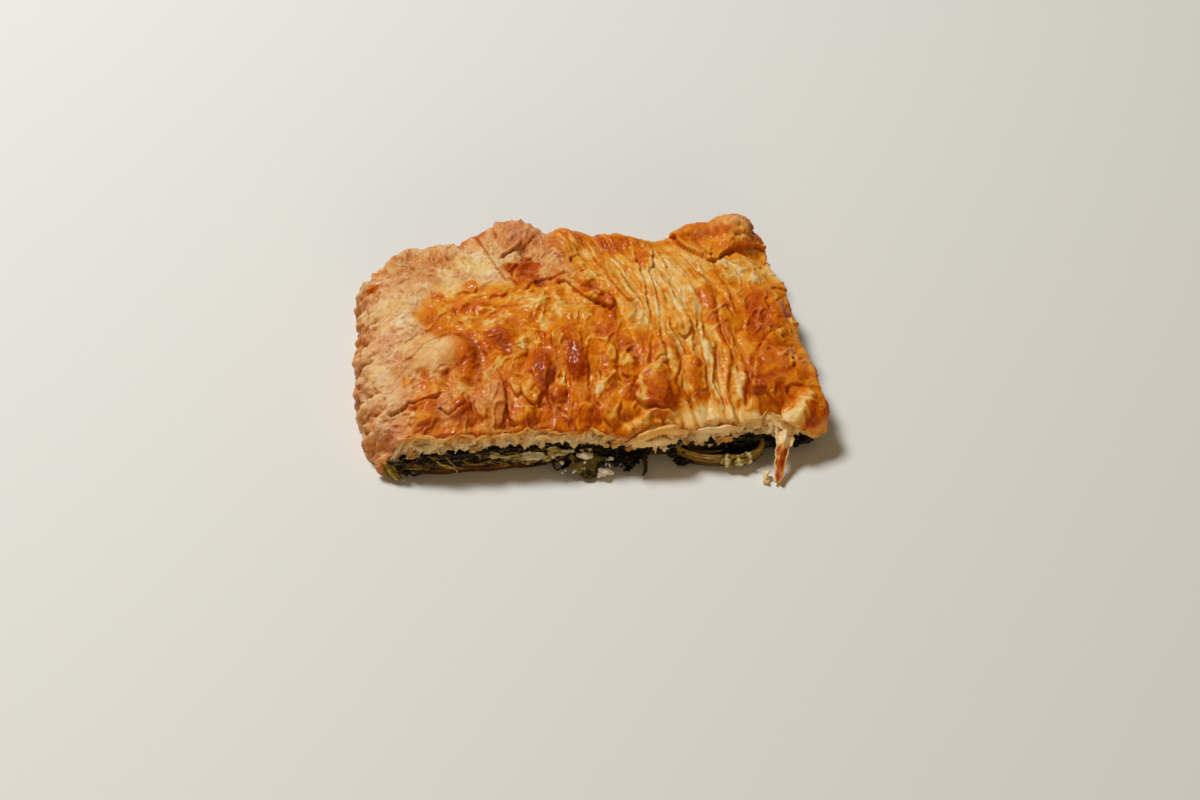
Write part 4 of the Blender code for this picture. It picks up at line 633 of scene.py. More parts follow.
# For the points within reach of a run: their indices, the signed gap to its left, a fade at its
# two ends and the heading there.
def nearRun(x, y, points, reach):
    run = smoothRun(points, 12)
    low = run.min(axis=0) - reach
    high = run.max(axis=0) + reach
    here = np.where((x > low[0]) & (x < high[0]) & (y > low[1]) & (y < high[1]))[0]
    gapX = x[here, None] - run[:, 0]
    gapY = y[here, None] - run[:, 1]
    near = np.argmin(gapX ** 2 + gapY ** 2, axis=1)
    heading = unit(np.gradient(run, axis=0))[near]
    pick = np.arange(len(here))
    dx = gapX[pick, near]
    dy = gapY[pick, near]
    left = heading[:, 0] * dy - heading[:, 1] * dx
    past = heading[:, 0] * dx + heading[:, 1] * dy
    walked = np.concatenate([[0.0], np.cumsum(np.linalg.norm(np.diff(run, axis=0), axis=1))])
    fromEnd = np.minimum(walked[near], walked[-1] - walked[near])
    beyond = np.where((near == 0) | (near == len(run) - 1), past / 0.9, 0.0)
    return here, left, smooth(0.25 + fromEnd / 2.5) * np.exp(-beyond ** 2), heading


# All the traced folds: height along the normal, a lean in plan, how deep in a crease each point
# is, for painted shade there, how near to an unglazed edge, painted paler with a highlight, and
# the change of browning.
def foldRelief(x, y):
    flatX, flatY = (part.ravel() for part in warped(x, y, (0.4, 2.6, 341, 343), (0.5, 6.0, 342, 344)))
    blisterX, blisterY = (part.ravel() for part in warped(x, y, (1.5, 5.0, 345, 347), (0.6, 2.0, 346, 348)))
    height, leanX, leanY, crease, bareAndHighlit, tone = (np.zeros_like(flatX) for _ in range(6))
    for lift, ease, drop, depth, points in relief["laps"]:
        here, left, fade, heading = nearRun(flatX, flatY, points, 2.2 * ease)
        above = left > 0.0
        edge = np.exp(-np.abs(left / np.where(above, ease, 0.45 * drop)) ** np.where(above, 1.15, 1.8))
        trough = np.exp(-((left + 1.0 * drop) / (0.9 * drop)) ** 2)
        height[here] += fade * (0.8 * lift * edge - 0.45 * depth * trough)
        bend = relief["foldLean"] * lift * fade * np.exp(-((left - 0.1) / 0.7) ** 2)
        leanX[here] += bend * heading[:, 1]
        leanY[here] -= bend * heading[:, 0]
        # a dark line in the trough under the lapped edge: painted shade
        line = fade * np.exp(-((left + 0.6 * drop) / 0.36) ** 2)
        crease[here] = np.maximum(crease[here], line * min(0.9, 0.4 + 0.3 * depth))
        # a pale rim along the lapped edge: unglazed, with a painted highlight
        rim = fade * np.exp(-((left - 0.1) / 0.55) ** 2)
        bareAndHighlit[here] = np.maximum(bareAndHighlit[here], rim * min(1.0, 0.5 * lift))
        tone[here] += fade * 0.08 * np.exp(-((left - 1.4) / 1.2) ** 2)
    for depth, halfWidth, points in relief["grooves"]:
        here, left, fade, heading = nearRun(flatX, flatY, points, 4.0 * halfWidth + 1.0)
        height[here] -= fade * 0.55 * depth * np.exp(-np.abs(left / (1.4 * halfWidth)) ** 1.4)
        height[here] += fade * 0.35 * depth * np.exp(-((np.abs(left) - 2.1 * halfWidth) / halfWidth) ** 2)
        # a dark line along the groove: painted shade in the crease
        line = fade * np.exp(-(left / (0.7 * halfWidth)) ** 2)
        crease[here] = np.maximum(crease[here], line * min(0.8, 0.35 + 0.3 * depth))
    for lift, halfWidth, change, points in relief["ridges"]:
        here, left, fade, heading = nearRun(flatX, flatY, points, 3.5 * halfWidth + 0.8)
        height[here] += fade * lift * np.exp(-np.abs(left / halfWidth) ** 1.3)
        height[here] -= fade * 0.3 * lift * np.exp(-((np.abs(left) - 2.0 * halfWidth) / halfWidth) ** 2)
        # ridges with a change below 0 turn paler: unglazed, with a painted highlight along them
        tone[here] += fade * change * np.exp(-(left / (0.9 * halfWidth)) ** 2)
    for (cx, cy), halfLength, halfWidth, lift, change in relief["blisters"]:
        gap = ((blisterX - cx) / halfLength) ** 2 + ((blisterY - cy) / halfWidth) ** 2
        height += lift * (0.8 * np.exp(-gap ** 1.1) - 0.2 * np.exp(-((np.sqrt(gap) - 1.45) / 0.3) ** 2))
        tone += 0.3 * change * np.exp(-0.7 * gap)
        bareAndHighlit = np.maximum(bareAndHighlit, 0.5 * np.exp(-((np.sqrt(gap) - 1.15) / 0.16) ** 2))
    # the folds are lower on the left
    low = 1.0 - 0.2 * smooth((-flatX - 38.0) / 8.0)
    return tuple(part.reshape(x.shape) for part in (height * low, leanX, leanY, crease * low, bareAndHighlit, tone))


# Where the right half's pleats run: place across them, which bends to the left at the rear.
def pleatPlace(x, y):
    lean = relief["pleatBend"] * smooth((y + 12.0) / 55.0) * smooth((38.0 - x) / 16.0)
    lean += 9.0 * smooth((y - 2.0) / 40.0) * smooth((x - 24.0) / 10.0) * smooth((56.0 - x) / 12.0)
    return x + lean + 1.1 * np.sin(0.55 * x + 0.11 * y) + 0.9 * np.sin(0.13 * y + 0.2 * x)


# How much of each kind of surface is here: pleats on the right half, smooth matte skin on the
# left and rear left, and glaze elsewhere, each a product of level-ended steps.
def regions(x, y):
    wander = 5.0 * noise(x, y, 14.0, 301) + 2.5 * noise(x, y, 5.0, 309)
    pleats = smooth((pleatPlace(x, y) - 13.0) / 8.0) * smooth((60.0 - x) / 8.0) * smooth((48.0 - y) / 10.0)
    pleats *= 1.0 - 0.85 * bell(x, y, 23.0, -38.0, 8.0, 10.0)
    matte = smooth((-48.0 - x + 0.16 * y + wander) / 9.0)
    rear = smooth((y - 13.0 + wander) / 9.0) * smooth((4.0 - x + wander) / 14.0)
    matte = np.maximum(matte, 0.85 * rear)
    for cx, cy, halfLength, halfWidth, value in relief["skins"]:
        matte += (value - matte) * bell(x, y, cx, cy, halfLength, halfWidth, 1.5)
    return pleats, matte


# Pleats with round backs of uneven width: the size of a sine across them to a power. Gives the
# height, thin raised lines, long streaks of browning that also put painted shade in the valleys,
# and the valleys.
def pleatRelief(x, y, pleats):
    place = pleatPlace(x, y) + 0.9 * noise(x, y, 11.0, 302)
    uneven = place + 1.5 * noise(place, 0.10 * y, 6.0, 355)
    backs = np.abs(np.sin(math.pi * uneven / relief["pleatPitch"]))
    valleys = np.exp(-(backs / 0.2) ** 2)
    backs = (backs ** 2 + 0.06) ** 0.48
    lines, puff = runningWrinkles(place, y, 4.2, 7.0, 0.8, 303)
    lines = lines * smooth(0.5 + 1.2 * noise(x, y, 9.0, 357))
    streaks = noise(place, 0.14 * y, 2.4, 358) + 0.6 * noise(place, 0.2 * y, 1.1, 359)
    deep = 0.75 + 0.5 * noise(x, y, 12.0, 351)
    height = relief["pleatHeight"] * deep * (backs - 0.62) + 0.9 * (puff - 0.35) + 0.25 * lines
    # the valleys turn browner: painted shade, with the browner glaze that pools there
    streaks = streaks + 0.9 * (backs - 0.6) + 1.5 * valleys
    return pleats * height, pleats * lines, pleats * streaks, pleats * valleys


# Wrinkles that run along a heading: the zero lines of noise stretched along it, 1 on the line and
# 0 past the half width, and the size of the noise for the puffs between them.
def runningWrinkles(across, along, pitch, stretch, halfWidth, seed):
    value = np.abs(noise(across, along / stretch, pitch, seed))
    return smooth(1.0 - value * pitch / (1.3 * halfWidth)), value


# Thin flakes lapped like shingles: the part of a number that rises along noise and drops at each
# whole step. Gives the height, the dark line at the foot of a drop, painted shade under the step,
# and the pale edge above it, unglazed with a painted highlight.
def flakeEdges(x, y, pitch, steps, seed):
    rise = steps * (noise(x, y, pitch, seed) + 0.22 * noise(x, y, 0.28 * pitch, seed + 1))
    part = rise - np.floor(rise)
    foot = smooth(1.0 - part / 0.13)
    edge = smooth((part - 0.80) / 0.16)
    return part - 0.5, foot, edge


# Crinkles of a baked sheet: raised wrinkle lines and the puffs between them, run by the flows that
# are near, fine lines, flakes and small pale bumps, all low on the calm patches. Gives the
# height, the lines, the bumps and the dark feet of the flakes, painted shade under their edges.
def crinkleRelief(x, y, pleats, matte):
    warpX, warpY = warped(x, y, (1.5, 6.5, 304, 305), (0.6, 2.3, 334, 335))
    lines, puffs, total, feet, calm = (np.zeros_like(x) for _ in range(5))
    for index, ((cx, cy), reach, heading, pitch, stretch) in enumerate(relief["flows"]):
        weight = bell(x, y, cx, cy, reach, reach) + 1e-6
        along, across = turned(warpX, warpY, heading)
        raised, _ = runningWrinkles(across, along, pitch, stretch, 0.8, 360 + index)
        _, puff = runningWrinkles(across, along, 1.7 * pitch, 0.7 * stretch, 1.0, 380 + index)
        lines += weight * raised
        puffs += weight * puff
        total += weight
    often = 0.3 + 0.7 * smooth(0.5 + 1.1 * noise(x, y, 8.0, 310))
    lines = np.clip(1.5 * lines / total - 0.2, 0.0, 1.0) * often
    puffs = (puffs / total) ** 0.8 - 0.42
    fine = wrinkles(warpX, warpY, 2.2, 0.4, 319)
    nearest, value = cells(warpX, warpY, relief["bumpPitch"], 307)
    bumpy = np.maximum(bell(x, y, -4.0, 12.0, 26.0, 16.0, 2.0), 0.45 * matte)
    bumps = np.exp(-(nearest / 0.36) ** 2) * smooth((value - 0.35) / 0.3) * bumpy
    plain = 1.0 - 0.85 * pleats
    height = relief["ridgeHeight"] * lines * plain
    height += relief["puffHeight"] * puffs * plain * (1.0 - 0.3 * matte)
    height += relief["bumpHeight"] * bumps + 0.16 * fine
    height += (0.08 + 0.16 * matte) * noise(x, y, 2.4, 336) + 0.12 * matte * noise(x, y, 1.3, 339)
    lines = np.maximum(lines * plain, fine * (0.12 + 0.2 * matte))
    for pitch, steps, seed, lift, dark, least, more, level, gaps, gapSeed in relief["flakes"]:
        part, foot, edge = flakeEdges(warpX, warpY, pitch, steps, seed)
        flaky = (least + more * matte) * plain * smooth(level + 1.3 * noise(x, y, gaps, gapSeed))
        height += lift * part * flaky
        lines = np.maximum(lines, 0.7 * edge * flaky)
        # dark feet under each flake's edge: painted shade
        feet = np.maximum(feet, dark * foot * flaky)
    for patch in relief["calm"]:
        calm = np.maximum(calm, bell(x, y, *patch, 2.0))
    still = 1.0 - 0.85 * calm
    return height * still, lines * still, bumps * still, feet * still


# Points moved out along the normals of their grid, which the flip turns round.
def raisedBy(points, height, flip):
    return points + flip * gridNormals(points) * height[..., None]


# The knobs and folds of the crust's baked sides, where it is wrapped under.
def sideRelief(x, y, wrapped, cut):
    knobs = np.abs(np.sin(math.pi * (y + 1.7 * np.sin(0.2 * y)) / 12.0)) ** 0.7
    knobs = 2.0 * (knobs - 0.6) * smooth((-x - 66.0) / 6.0) * (1.0 - cut)
    folds = 2.2 * (np.abs(noise(x, y, 6.0, 398)) - 0.3) + 0.9 * noise(x, y, 2.6, 399)
    return knobs + wrapped * folds


# Evens out the few places where the top would fold over itself, by moving each steep point
# towards the mean of the four around it.
def unfolded(points, onSide, flip):
    for _ in range(4):
        steep = smooth((0.32 - flip * gridNormals(points)[..., 2]) / 0.2) * smooth((0.1 - onSide) / 0.1)
        wide = np.pad(points, ((1, 1), (1, 1), (0, 0)), mode="edge")
        around = 0.25 * (wide[:-2, 1:-1] + wide[2:, 1:-1] + wide[1:-1, :-2] + wide[1:-1, 2:])
        points = points + steep[..., None] * (around - points)
    return points


# The crust's surface from the plain skin out: lumps, then folds and pleats along the new normals,
# then crinkles and grain along the newer ones. Gives the points and the masks for the colours.
def crustSurface(s, t, flip=1.0):
    points, sheet, onSide, cut = skin(s, t)
    x = sheet[..., 0]
    y = sheet[..., 1]
    atLip = smooth((onSide - 0.7) / 0.3)
    low, high = relief["lipRelief"]
    broad = lumpRelief(x, y) + relief["swell"] * noise(x, y, 16.0, 311) * 2.0
    broad = broad * (1.0 - atLip) + np.clip(broad, low, high) * atLip
    points = raisedBy(points, broad, flip)

    pleats, matte = regions(x, y)
    pleats = pleats * (1.0 - 0.6 * atLip)
    height, leanX, leanY, crease, bareAndHighlit, tone = foldRelief(x, y)
    pleatHeight, pleatLines, streaks, valleys = pleatRelief(x, y, pleats)
    edge = smooth((-y - 49.0) / 4.0) * cut
    frill = wrinkles(x + 1.2 * noise(x, y, 4.0, 312), 0.5 * y, 4.4, 1.3, 313)
    frill = frill + 0.6 * noise(x, 0.35 * y, 2.4, 314)
    wrapped = smooth((onSide - 0.2) / 0.3) * (1.0 - cut) * (1.0 - atLip)
    middle = height + pleatHeight + relief["ruffleHeight"] * frill * edge + sideRelief(x, y, wrapped, cut)
    middle = np.where(atLip > 0.0, middle * (1.0 - atLip) + np.clip(middle, -0.8, 1.3) * atLip, middle)
    points = raisedBy(points, middle, flip)
    points[..., 0] += leanX
    points[..., 1] += leanY

    crinkle, lines, bumps, feet = crinkleRelief(x, y, pleats, matte)
    # the flakes' feet and the pleat valleys darken as painted shade
    crease = np.maximum(np.maximum(crease, feet), 0.3 * valleys)
    below = onSide - skirt(s, t) + 0.07 * noise(x, 0.4 * y, 5.0, 352) + 0.04 * noise(x, 0.4 * y, 2.0, 353)
    layers = smooth((below + 0.02) / 0.06) * cut
    recess = 0.8 * np.exp(-((below + 0.07) / 0.07) ** 2) - relief["layerRecess"] * smooth(below / 0.08)
    points = points + faceOut(s, t) * (recess * cut)[..., None]
    walked = points[..., 2] + 0.5 * noise(x, y, 5.0, 315) + 0.4 * noise(x, y, 2.0, 316)
    layerLines = crests(walked, 0.02 * x, relief["layerPitch"], 317)
    crinkle = crinkle * (1.0 - 0.3 * layers) + relief["layerDepth"] * layerLines * layers
    points = raisedBy(points, crinkle + relief["grain"] * noise(x, y, 0.95, 318), flip)
    points[..., 2] = np.maximum(points[..., 2], relief["lowest"])
    points = unfolded(points, onSide, flip)

    # pale unglazed lines and edges, which also carry a painted highlight
    bareAndHighlit = np.maximum(np.maximum(bareAndHighlit, 0.9 * lines), np.maximum(pleatLines, 0.9 * bumps))
    bake, glazed = crustBrowning(x, y, onSide, cut, matte, broad + 0.8 * height, streaks, tone, bareAndHighlit)
    matte = matte * (1.0 - np.minimum(1.1 * glazed, 1.0))
    # the cut face below the skin: cream layers, browner further down as painted shade deep in the recess
    inside = 0.16 + 0.34 * smooth((below - 0.12) / 0.25) + 0.14 * noise(x, 2.0 * y, 2.4, 327)
    bake = bake + (inside - bake) * layers
    # steep slopes turn browner: painted shade, in the warm colour that shade takes in pastry
    slope = smooth((0.92 - flip * gridNormals(points)[..., 2]) / 0.4) * (1.0 - layers)
    # the ruffled edge at the front right stays pale, with little of the painted slope shade
    ruffled = smooth((x - 22.0) / 8.0) * smooth((-y - 45.0) / 4.0) * smooth((64.0 - x) / 4.0)
    bake = bake + browning["slope"] * slope * (1.0 - 0.9 * ruffled)
    # paler on raised crinkles and browner in their dips: glaze running off the crests, with a painted highlight
    # on them and painted shade in the dips
    bake = np.clip(bake - browning["highPale"] * np.clip(crinkle, -0.7, 0.7), 0.0, 1.0)
    rosy = 0.4 * noise(x, y, 9.0, 361) - 0.3 * wrapped
    for cx, cy, reach, value in browning["rosy"]:
        rosy = rosy + value * bell(x, y, cx, cy, reach, reach)
    masks = {"bake": bake, "matte": 0.9 * matte * (1.0 - layers) + 0.3 * layers, "crease": crease,
             "rosy": rosy * (1.0 - layers)}
    return pushed(points), masks


# How browned each point is: the patches laid over the plain colour in turn, darker where the
# sheet stands proud and in streaks, whose pleat valleys hold painted shade, and paler on wrinkle
# lines and fold edges, unglazed with a painted highlight. Also how glazed the browned patches
# are.
def crustBrowning(x, y, onSide, cut, matte, proud, streaks, tone, bareAndHighlit):
    bake = browning["plain"] + (browning["middle"] - browning["plain"]) * (1.0 - matte)
    wanderX, wanderY = warped(x, y, (1.8, 5.0, 321, 323), (0.9, 1.9, 322, 324))
    torn = 0.35 * noise(x, y, 2.6, 329) + 0.25 * noise(x, y, 1.2, 330)
    glazed = np.zeros_like(x)
    for cx, cy, halfLength, halfWidth, target, strength in browning["patches"]:
        gap = ((wanderX - cx) / halfLength) ** 2 + ((wanderY - cy) / halfWidth) ** 2
        if target < 0.3:
            share = 0.75 * strength * smooth(1.05 - 0.55 * gap + 0.8 * torn)
        else:
            share = strength * smooth(1.35 - 0.85 * gap + torn)
        bake += (target - bake) * share
        if target > browning["glazedAbove"]:
            glazed = np.maximum(glazed, share)
    bake += 0.5 * tone + 0.04 * np.clip(proud, -1.5, 2.0) + 0.15 * streaks
    bake += 0.09 * noise(wanderX, wanderY, 4.2, 325) + 0.05 * noise(x, y, 1.5, 326)
    bake -= 0.1 * smooth((x - 16.0) / 16.0)
    # paler on unglazed edges and lines, with a painted highlight
    bake -= browning["bareAndHighlitLines"] * bareAndHighlit * (1.0 - 0.5 * matte)
    bake += 0.07 * smooth((onSide - 0.5) / 0.5) * (1.0 - cut)
    return np.clip(bake, 0.0, 1.0), glazed


# The quads of a grid of points, row by row, joined round where its columns close.
def gridFaces(rows, columns, closed=False):
    i, j = np.meshgrid(np.arange(rows - 1), np.arange(columns - (not closed)), indexing="ij")
    right = (j + 1) % columns
    low = i * columns
    high = low + columns
    return np.stack([low + j, low + right, high + right, high + j], axis=-1).reshape(-1, 4)


# The quads of a stack of closed rings and the triangles to a pole at each end, whose points come
# after the rings.
def stackFaces(rings, columns):
    step = np.arange(columns)
    after = (step + 1) % columns
    last = (rings - 1) * columns
    pole = np.full(columns, rings * columns)
    tips = [np.stack([after, step, pole], axis=-1), np.stack([step + last, after + last, pole + 1], axis=-1)]
    return gridFaces(rings, columns, True), np.concatenate(tips)


# One mesh object from points in millimetres, faces, and masks given per point or as one value. It
# stands in for the solid of the same slot.
def addPiece(name, points, faces, masks, material, node):
    mesh = bpy.data.meshes.new(name)
    mesh.from_pydata(placed(points).tolist(), [], [face for group in faces for face in group.tolist()])
    mesh.shade_smooth()
    for mask, values in masks.items():
        values = np.broadcast_to(np.asarray(values, dtype=np.float32).ravel(), len(points))
        layer = mesh.attributes.new(mask, "FLOAT", "POINT")
        layer.data.foreach_set("value", np.ascontiguousarray(values))
    mesh.materials.append(material)
    mesh.update()
    piece = bpy.data.objects.new(name, mesh)
    bpy.context.scene.collection.objects.link(piece)
    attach(piece, "root")
    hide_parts(node)
    triangles = sum(len(group) * (group.shape[1] - 2) for group in faces)
    print(f"{name}: {triangles} triangles")


# Thin closed sheets from a stack of grids: a copy of each pushed back along the normals, joined
# round the border.
def thinSheets(grids, thickness):
    count, rows, columns = grids.shape[:3]
    normals = np.stack([gridNormals(grid) for grid in grids])
    points = np.stack([grids, grids - normals * thickness], axis=1)
    each = rows * columns
    front = gridFaces(rows, columns)
    ring = np.concatenate([np.arange(columns), np.arange(1, rows) * columns + columns - 1,
                           (rows - 1) * columns + np.arange(columns - 2, -1, -1),
                           np.arange(rows - 2, 0, -1) * columns])
    after = np.roll(ring, -1)
    border = np.stack([ring, ring + each, after + each, after], axis=-1)
    one = np.concatenate([front, front[:, ::-1] + each, border])
    shifts = np.arange(count)[:, None, None] * (2 * each)
    return points.reshape(-1, 3), (one + shifts).reshape(-1, 4)


# One value for each sheet, repeated for all its points, front and back.
def perSheet(values, grids):
    return np.repeat(values, 2 * grids.shape[1] * grids.shape[2])


# A ball's points by rings and its two poles, on the unit sphere, with its faces.
def unitBall(rings, columns):
    lift = np.linspace(-0.5 * math.pi, 0.5 * math.pi, rings + 2)[1:-1]
    turn = np.linspace(0.0, 2.0 * math.pi, columns, endpoint=False)
    around = np.stack([np.cos(lift)[:, None] * np.cos(turn), np.cos(lift)[:, None] * np.sin(turn),
                       np.sin(lift)[:, None] * np.ones(columns)], axis=-1).reshape(-1, 3)
    points = np.concatenate([around, [[0, 0, -1.0], [0, 0, 1.0]]])
    return points, *stackFaces(rings, columns)


# Lumpy balls at given centres and radii: the unit ball scaled, dented by waves in seeded
# directions. Gives points, quads and triangles.
def lumpyBalls(centres, radii, dents, seed, rings, columns):
    ball, quads, tips = unitBall(rings, columns)
    draw = np.random.default_rng(seed)
    count = len(centres)
    uneven = np.ones((count, len(ball)))
    for frequency in (1.7, 2.9, 4.6):
        direction = unit(draw.normal(size=(count, 3)))
        phase = draw.uniform(0.0, 2.0 * math.pi, (count, 1))
        uneven += dents / frequency * 1.7 * np.sin(frequency * 2.0 * (direction @ ball.T) + phase)
    points = np.array(centres)[:, None] + ball[None] * np.array(radii)[:, None] * uneven[..., None]
    shifts = (np.arange(count) * len(ball))[:, None, None]
    return points.reshape(-1, 3), (quads[None] + shifts).reshape(-1, 4), (tips[None] + shifts).reshape(-1, 3)


# A closed tube along a run: at each step a ring of points about it in the plane across it, wide
# by wide and tall values, closed at both ends by a tip.
def tubeAlong(run, wide, tall, columns):
    steps = len(run)
    heading = unit(np.gradient(run, axis=0))
    side = unit(np.cross(heading, [0.0, 0.0, 1.0]))
    up = np.cross(side, heading)
    turn = np.linspace(0.0, 2.0 * math.pi, columns, endpoint=False)
    across = np.broadcast_to(wide, steps)[:, None] * np.cos(turn)
    upwards = np.broadcast_to(tall, steps)[:, None] * np.sin(turn)
    rings = run[:, None] + side[:, None] * across[..., None] + up[:, None] * upwards[..., None]
    points = np.concatenate([rings.reshape(-1, 3), run[:1], run[-1:]])
    quads, tips = stackFaces(steps, columns)
    return points, quads[:, ::-1], tips[:, ::-1]


# Joins several (points, quads, triangles) sets into one.
def joined(sets):
    starts = np.cumsum([0] + [len(points) for points, quads, tips in sets])
    quads = [quads + start for (points, quads, tips), start in zip(sets, starts)]
    tips = [tips + start for (points, quads, tips), start in zip(sets, starts) if tips is not None]
    return np.concatenate([one[0] for one in sets]), [np.concatenate(quads), np.concatenate(tips)]


# Gives an input a plain value or a link.
def feed(tree, value, socket):
    if isinstance(value, Field):
        tree.links.new(value.socket, socket)
    else:
        socket.default_value = value


# A value in a node tree that can be written in sums: each operation adds a Math node to the tree.
class Field:
    def __init__(self, tree, socket):
        self.tree = tree
        self.socket = socket

    def math(self, kind, first, second):
        node = self.tree.nodes.new("ShaderNodeMath")
        node.operation = kind
        feed(self.tree, first, node.inputs[0])
        feed(self.tree, second, node.inputs[1])
        return Field(self.tree, node.outputs[0])

    def __add__(self, other):
        return self.math("ADD", self, other)

    def __sub__(self, other):
        return self.math("SUBTRACT", self, other)

    def __rsub__(self, other):
        return self.math("SUBTRACT", other, self)

    def __mul__(self, other):
        return self.math("MULTIPLY", self, other)

    def __truediv__(self, other):
        return self.math("DIVIDE", self, other)

    def __abs__(self):
        return self.math("ABSOLUTE", self, 0.0)

    # keeps the last operation's result between 0 and 1
    def clipped(self):
        self.socket.node.use_clamp = True
        return self


# Adds a node with its inputs' values by name, and gives one of its outputs.
def addNode(tree, kind, output, **values):
    node = tree.nodes.new(kind)
    for key, value in values.items():
        feed(tree, value, node.inputs[key])
    return Field(tree, node.outputs[output])


# Reads one of the masks that a piece's points carry.
def readMask(tree, mask):
    node = tree.nodes.new("ShaderNodeAttribute")
    node.attribute_name = mask
    return Field(tree, node.outputs["Fac"])


# The numbers of a colour written as it looks on screen, as linear light.
def screen(code):
    values = [int(code[i:i + 2], 16) / 255.0 for i in (0, 2, 4)]
    return tuple(v / 12.92 if v <= 0.04045 else ((v + 0.055) / 1.055) ** 2.4 for v in values) + (1.0,)


# A colour ramp with stops given as (place, colour).
def addRamp(tree, stops, share):
    node = tree.nodes.new("ShaderNodeValToRGB")
    ramp = node.color_ramp
    while len(ramp.elements) < len(stops):
        ramp.elements.new(0.5)
    for element, (place, code) in zip(ramp.elements, stops):
        element.position = place
        element.color = screen(code)
    feed(tree, share, node.inputs["Fac"])
    return Field(tree, node.outputs["Color"])


# A mix of two colours by a share of the second.
def addMix(tree, share, first, second):
    node = tree.nodes.new("ShaderNodeMix")
    node.data_type = "RGBA"
    node.clamp_factor = True
    for socket, value in ((0, share), (6, first), (7, second)):
        feed(tree, value, node.inputs[socket])
    return Field(tree, node.outputs[2])


# A new material with the given values on its shader.
def newMaterial(name, settings):
    material = bpy.data.materials.new(name)
    material.use_nodes = True
    shader = material.node_tree.nodes["Principled BSDF"]
    for socket, value in settings.items():
        shader.inputs[socket].default_value = value
    return material, material.node_tree, shader


pastry = {
    # browning ramps as they look in plain light: glazed, and matte
    "glazed": ((0.0, "F9DEA6"), (0.15, "F6CA78"), (0.3, "F2B248"), (0.45, "EC9418"), (0.6, "E27802"),
               (0.8, "CC5800"), (1.0, "A83C00")),
    "matte": ((0.0, "FAE6C2"), (0.2, "F5D2A0"), (0.4, "ECBA82"), (0.6, "DC9A58"), (0.8, "C46E2C"),
              (1.0, "964410")),
    "pink": "E49A6E",
    "yellow": "F2CE82",
    "cream": "F8DCB0",
    # the colour of the painted shade in creases
    "creaseColour": "A2500C",
    # the colour of the thin line of painted shade under torn edges
    "lineColour": "B45A14",
    "speckle": 620.0,                 # how many specks of noise a metre
    "coatRoughness": 0.1,
    "specular": 0.16,
    "specularTint": (1.0, 0.55, 0.2, 1.0),
    "softness": (1.0, 0.5, 0.2),      # how far light runs inside, by red, green and blue
}


# Baked pastry's colour: the two ramps by browning, mixed by how matte the skin is, darkened in
# the creases with painted shade and the browner glaze that pools there. Also the roughness, the
# glaze and a fine grain for bump.
def pastryGroup():
    group = bpy.data.node_groups.new("bakedPastry", "ShaderNodeTree")
    kinds = {"Place": "NodeSocketVector", "Colour": "NodeSocketColor"}
    for side, names in (("INPUT", ("Bake", "Matte", "Crease", "Rosy", "Place")),
                        ("OUTPUT", ("Colour", "Roughness", "Glaze", "Grain"))):
        for name in names:
            kind = kinds.get(name, "NodeSocketFloat")
            group.interface.new_socket(name, in_out=side, socket_type=kind)
    enter = group.nodes.new("NodeGroupInput")
    leave = group.nodes.new("NodeGroupOutput")
    bake, matte, crease, rosy, place = (Field(group, socket) for socket in enter.outputs[:5])

    # noise about the piece, with so many clouds a metre
    def clouds(scale, detail, roughness=0.6, distortion=0.0):
        return addNode(group, "ShaderNodeTexNoise", "Fac", Vector=place, Scale=scale, Detail=detail,
                       Roughness=roughness, Distortion=distortion)

    fine = clouds(pastry["speckle"], 4.0)
    tiny = clouds(2600.0, 2.0)
    broad = clouds(190.0, 3.0, 0.55)
    bake = (bake + (fine - 0.5) * 0.26 + (broad - 0.5) * 0.34 + (tiny - 0.5) * 0.06).clipped()
    rosy = (clouds(130.0, 3.0) - 0.5) * 3.6 + rosy
    skin = addRamp(group, pastry["matte"], bake)
    skin = addMix(group, (rosy - 0.1).clipped(), skin, screen(pastry["pink"]))
    skin = addMix(group, (-0.1 - rosy).clipped(), skin, screen(pastry["yellow"]))
    pale = ((clouds(210.0, 4.0) - 0.54) * 4.0).clipped() * 0.75
    skin = addMix(group, pale, skin, screen(pastry["cream"]))
    colour = addMix(group, matte, addRamp(group, pastry["glazed"], bake), skin)
    # thin torn edges: a brown line along the middle value of noise, painted shade under the edge, and
    # a pale rim on one side, a painted highlight where the edge catches the light
    often = ((broad - 0.40) * 5.0).clipped() * (matte * 0.7 + 0.3)
    grain = fine + tiny * 0.5
    for scale, thin in ((110.0, 0.014), (210.0, 0.020)):
        step = clouds(scale, 2.0, 0.45, 0.8) - 0.5
        line = (1.0 - abs(step) / thin).clipped() * often
        rim = (1.0 - abs(step - 2.2 * thin) / (1.5 * thin)).clipped() * often
        colour = addMix(group, line * 0.55, colour, screen(pastry["lineColour"]))
        colour = addMix(group, rim * 0.5, colour, screen(pastry["cream"]))
        grain = grain + (rim - line) * 0.3
    # painted shade: the crease mask darkens the colour towards the crease colour
    colour = addMix(group, (crease * 0.7).clipped(), colour, screen(pastry["creaseColour"]))
    shiny = ((1.0 - matte) * (broad + 0.45)).clipped()
    rough = 0.66 - shiny * 0.36 + fine * 0.12
    glaze = (shiny * (bake + 0.35)).clipped()
    for value, socket in zip((colour, rough, glaze, grain), leave.inputs):
        feed(group, value, socket)
    return group


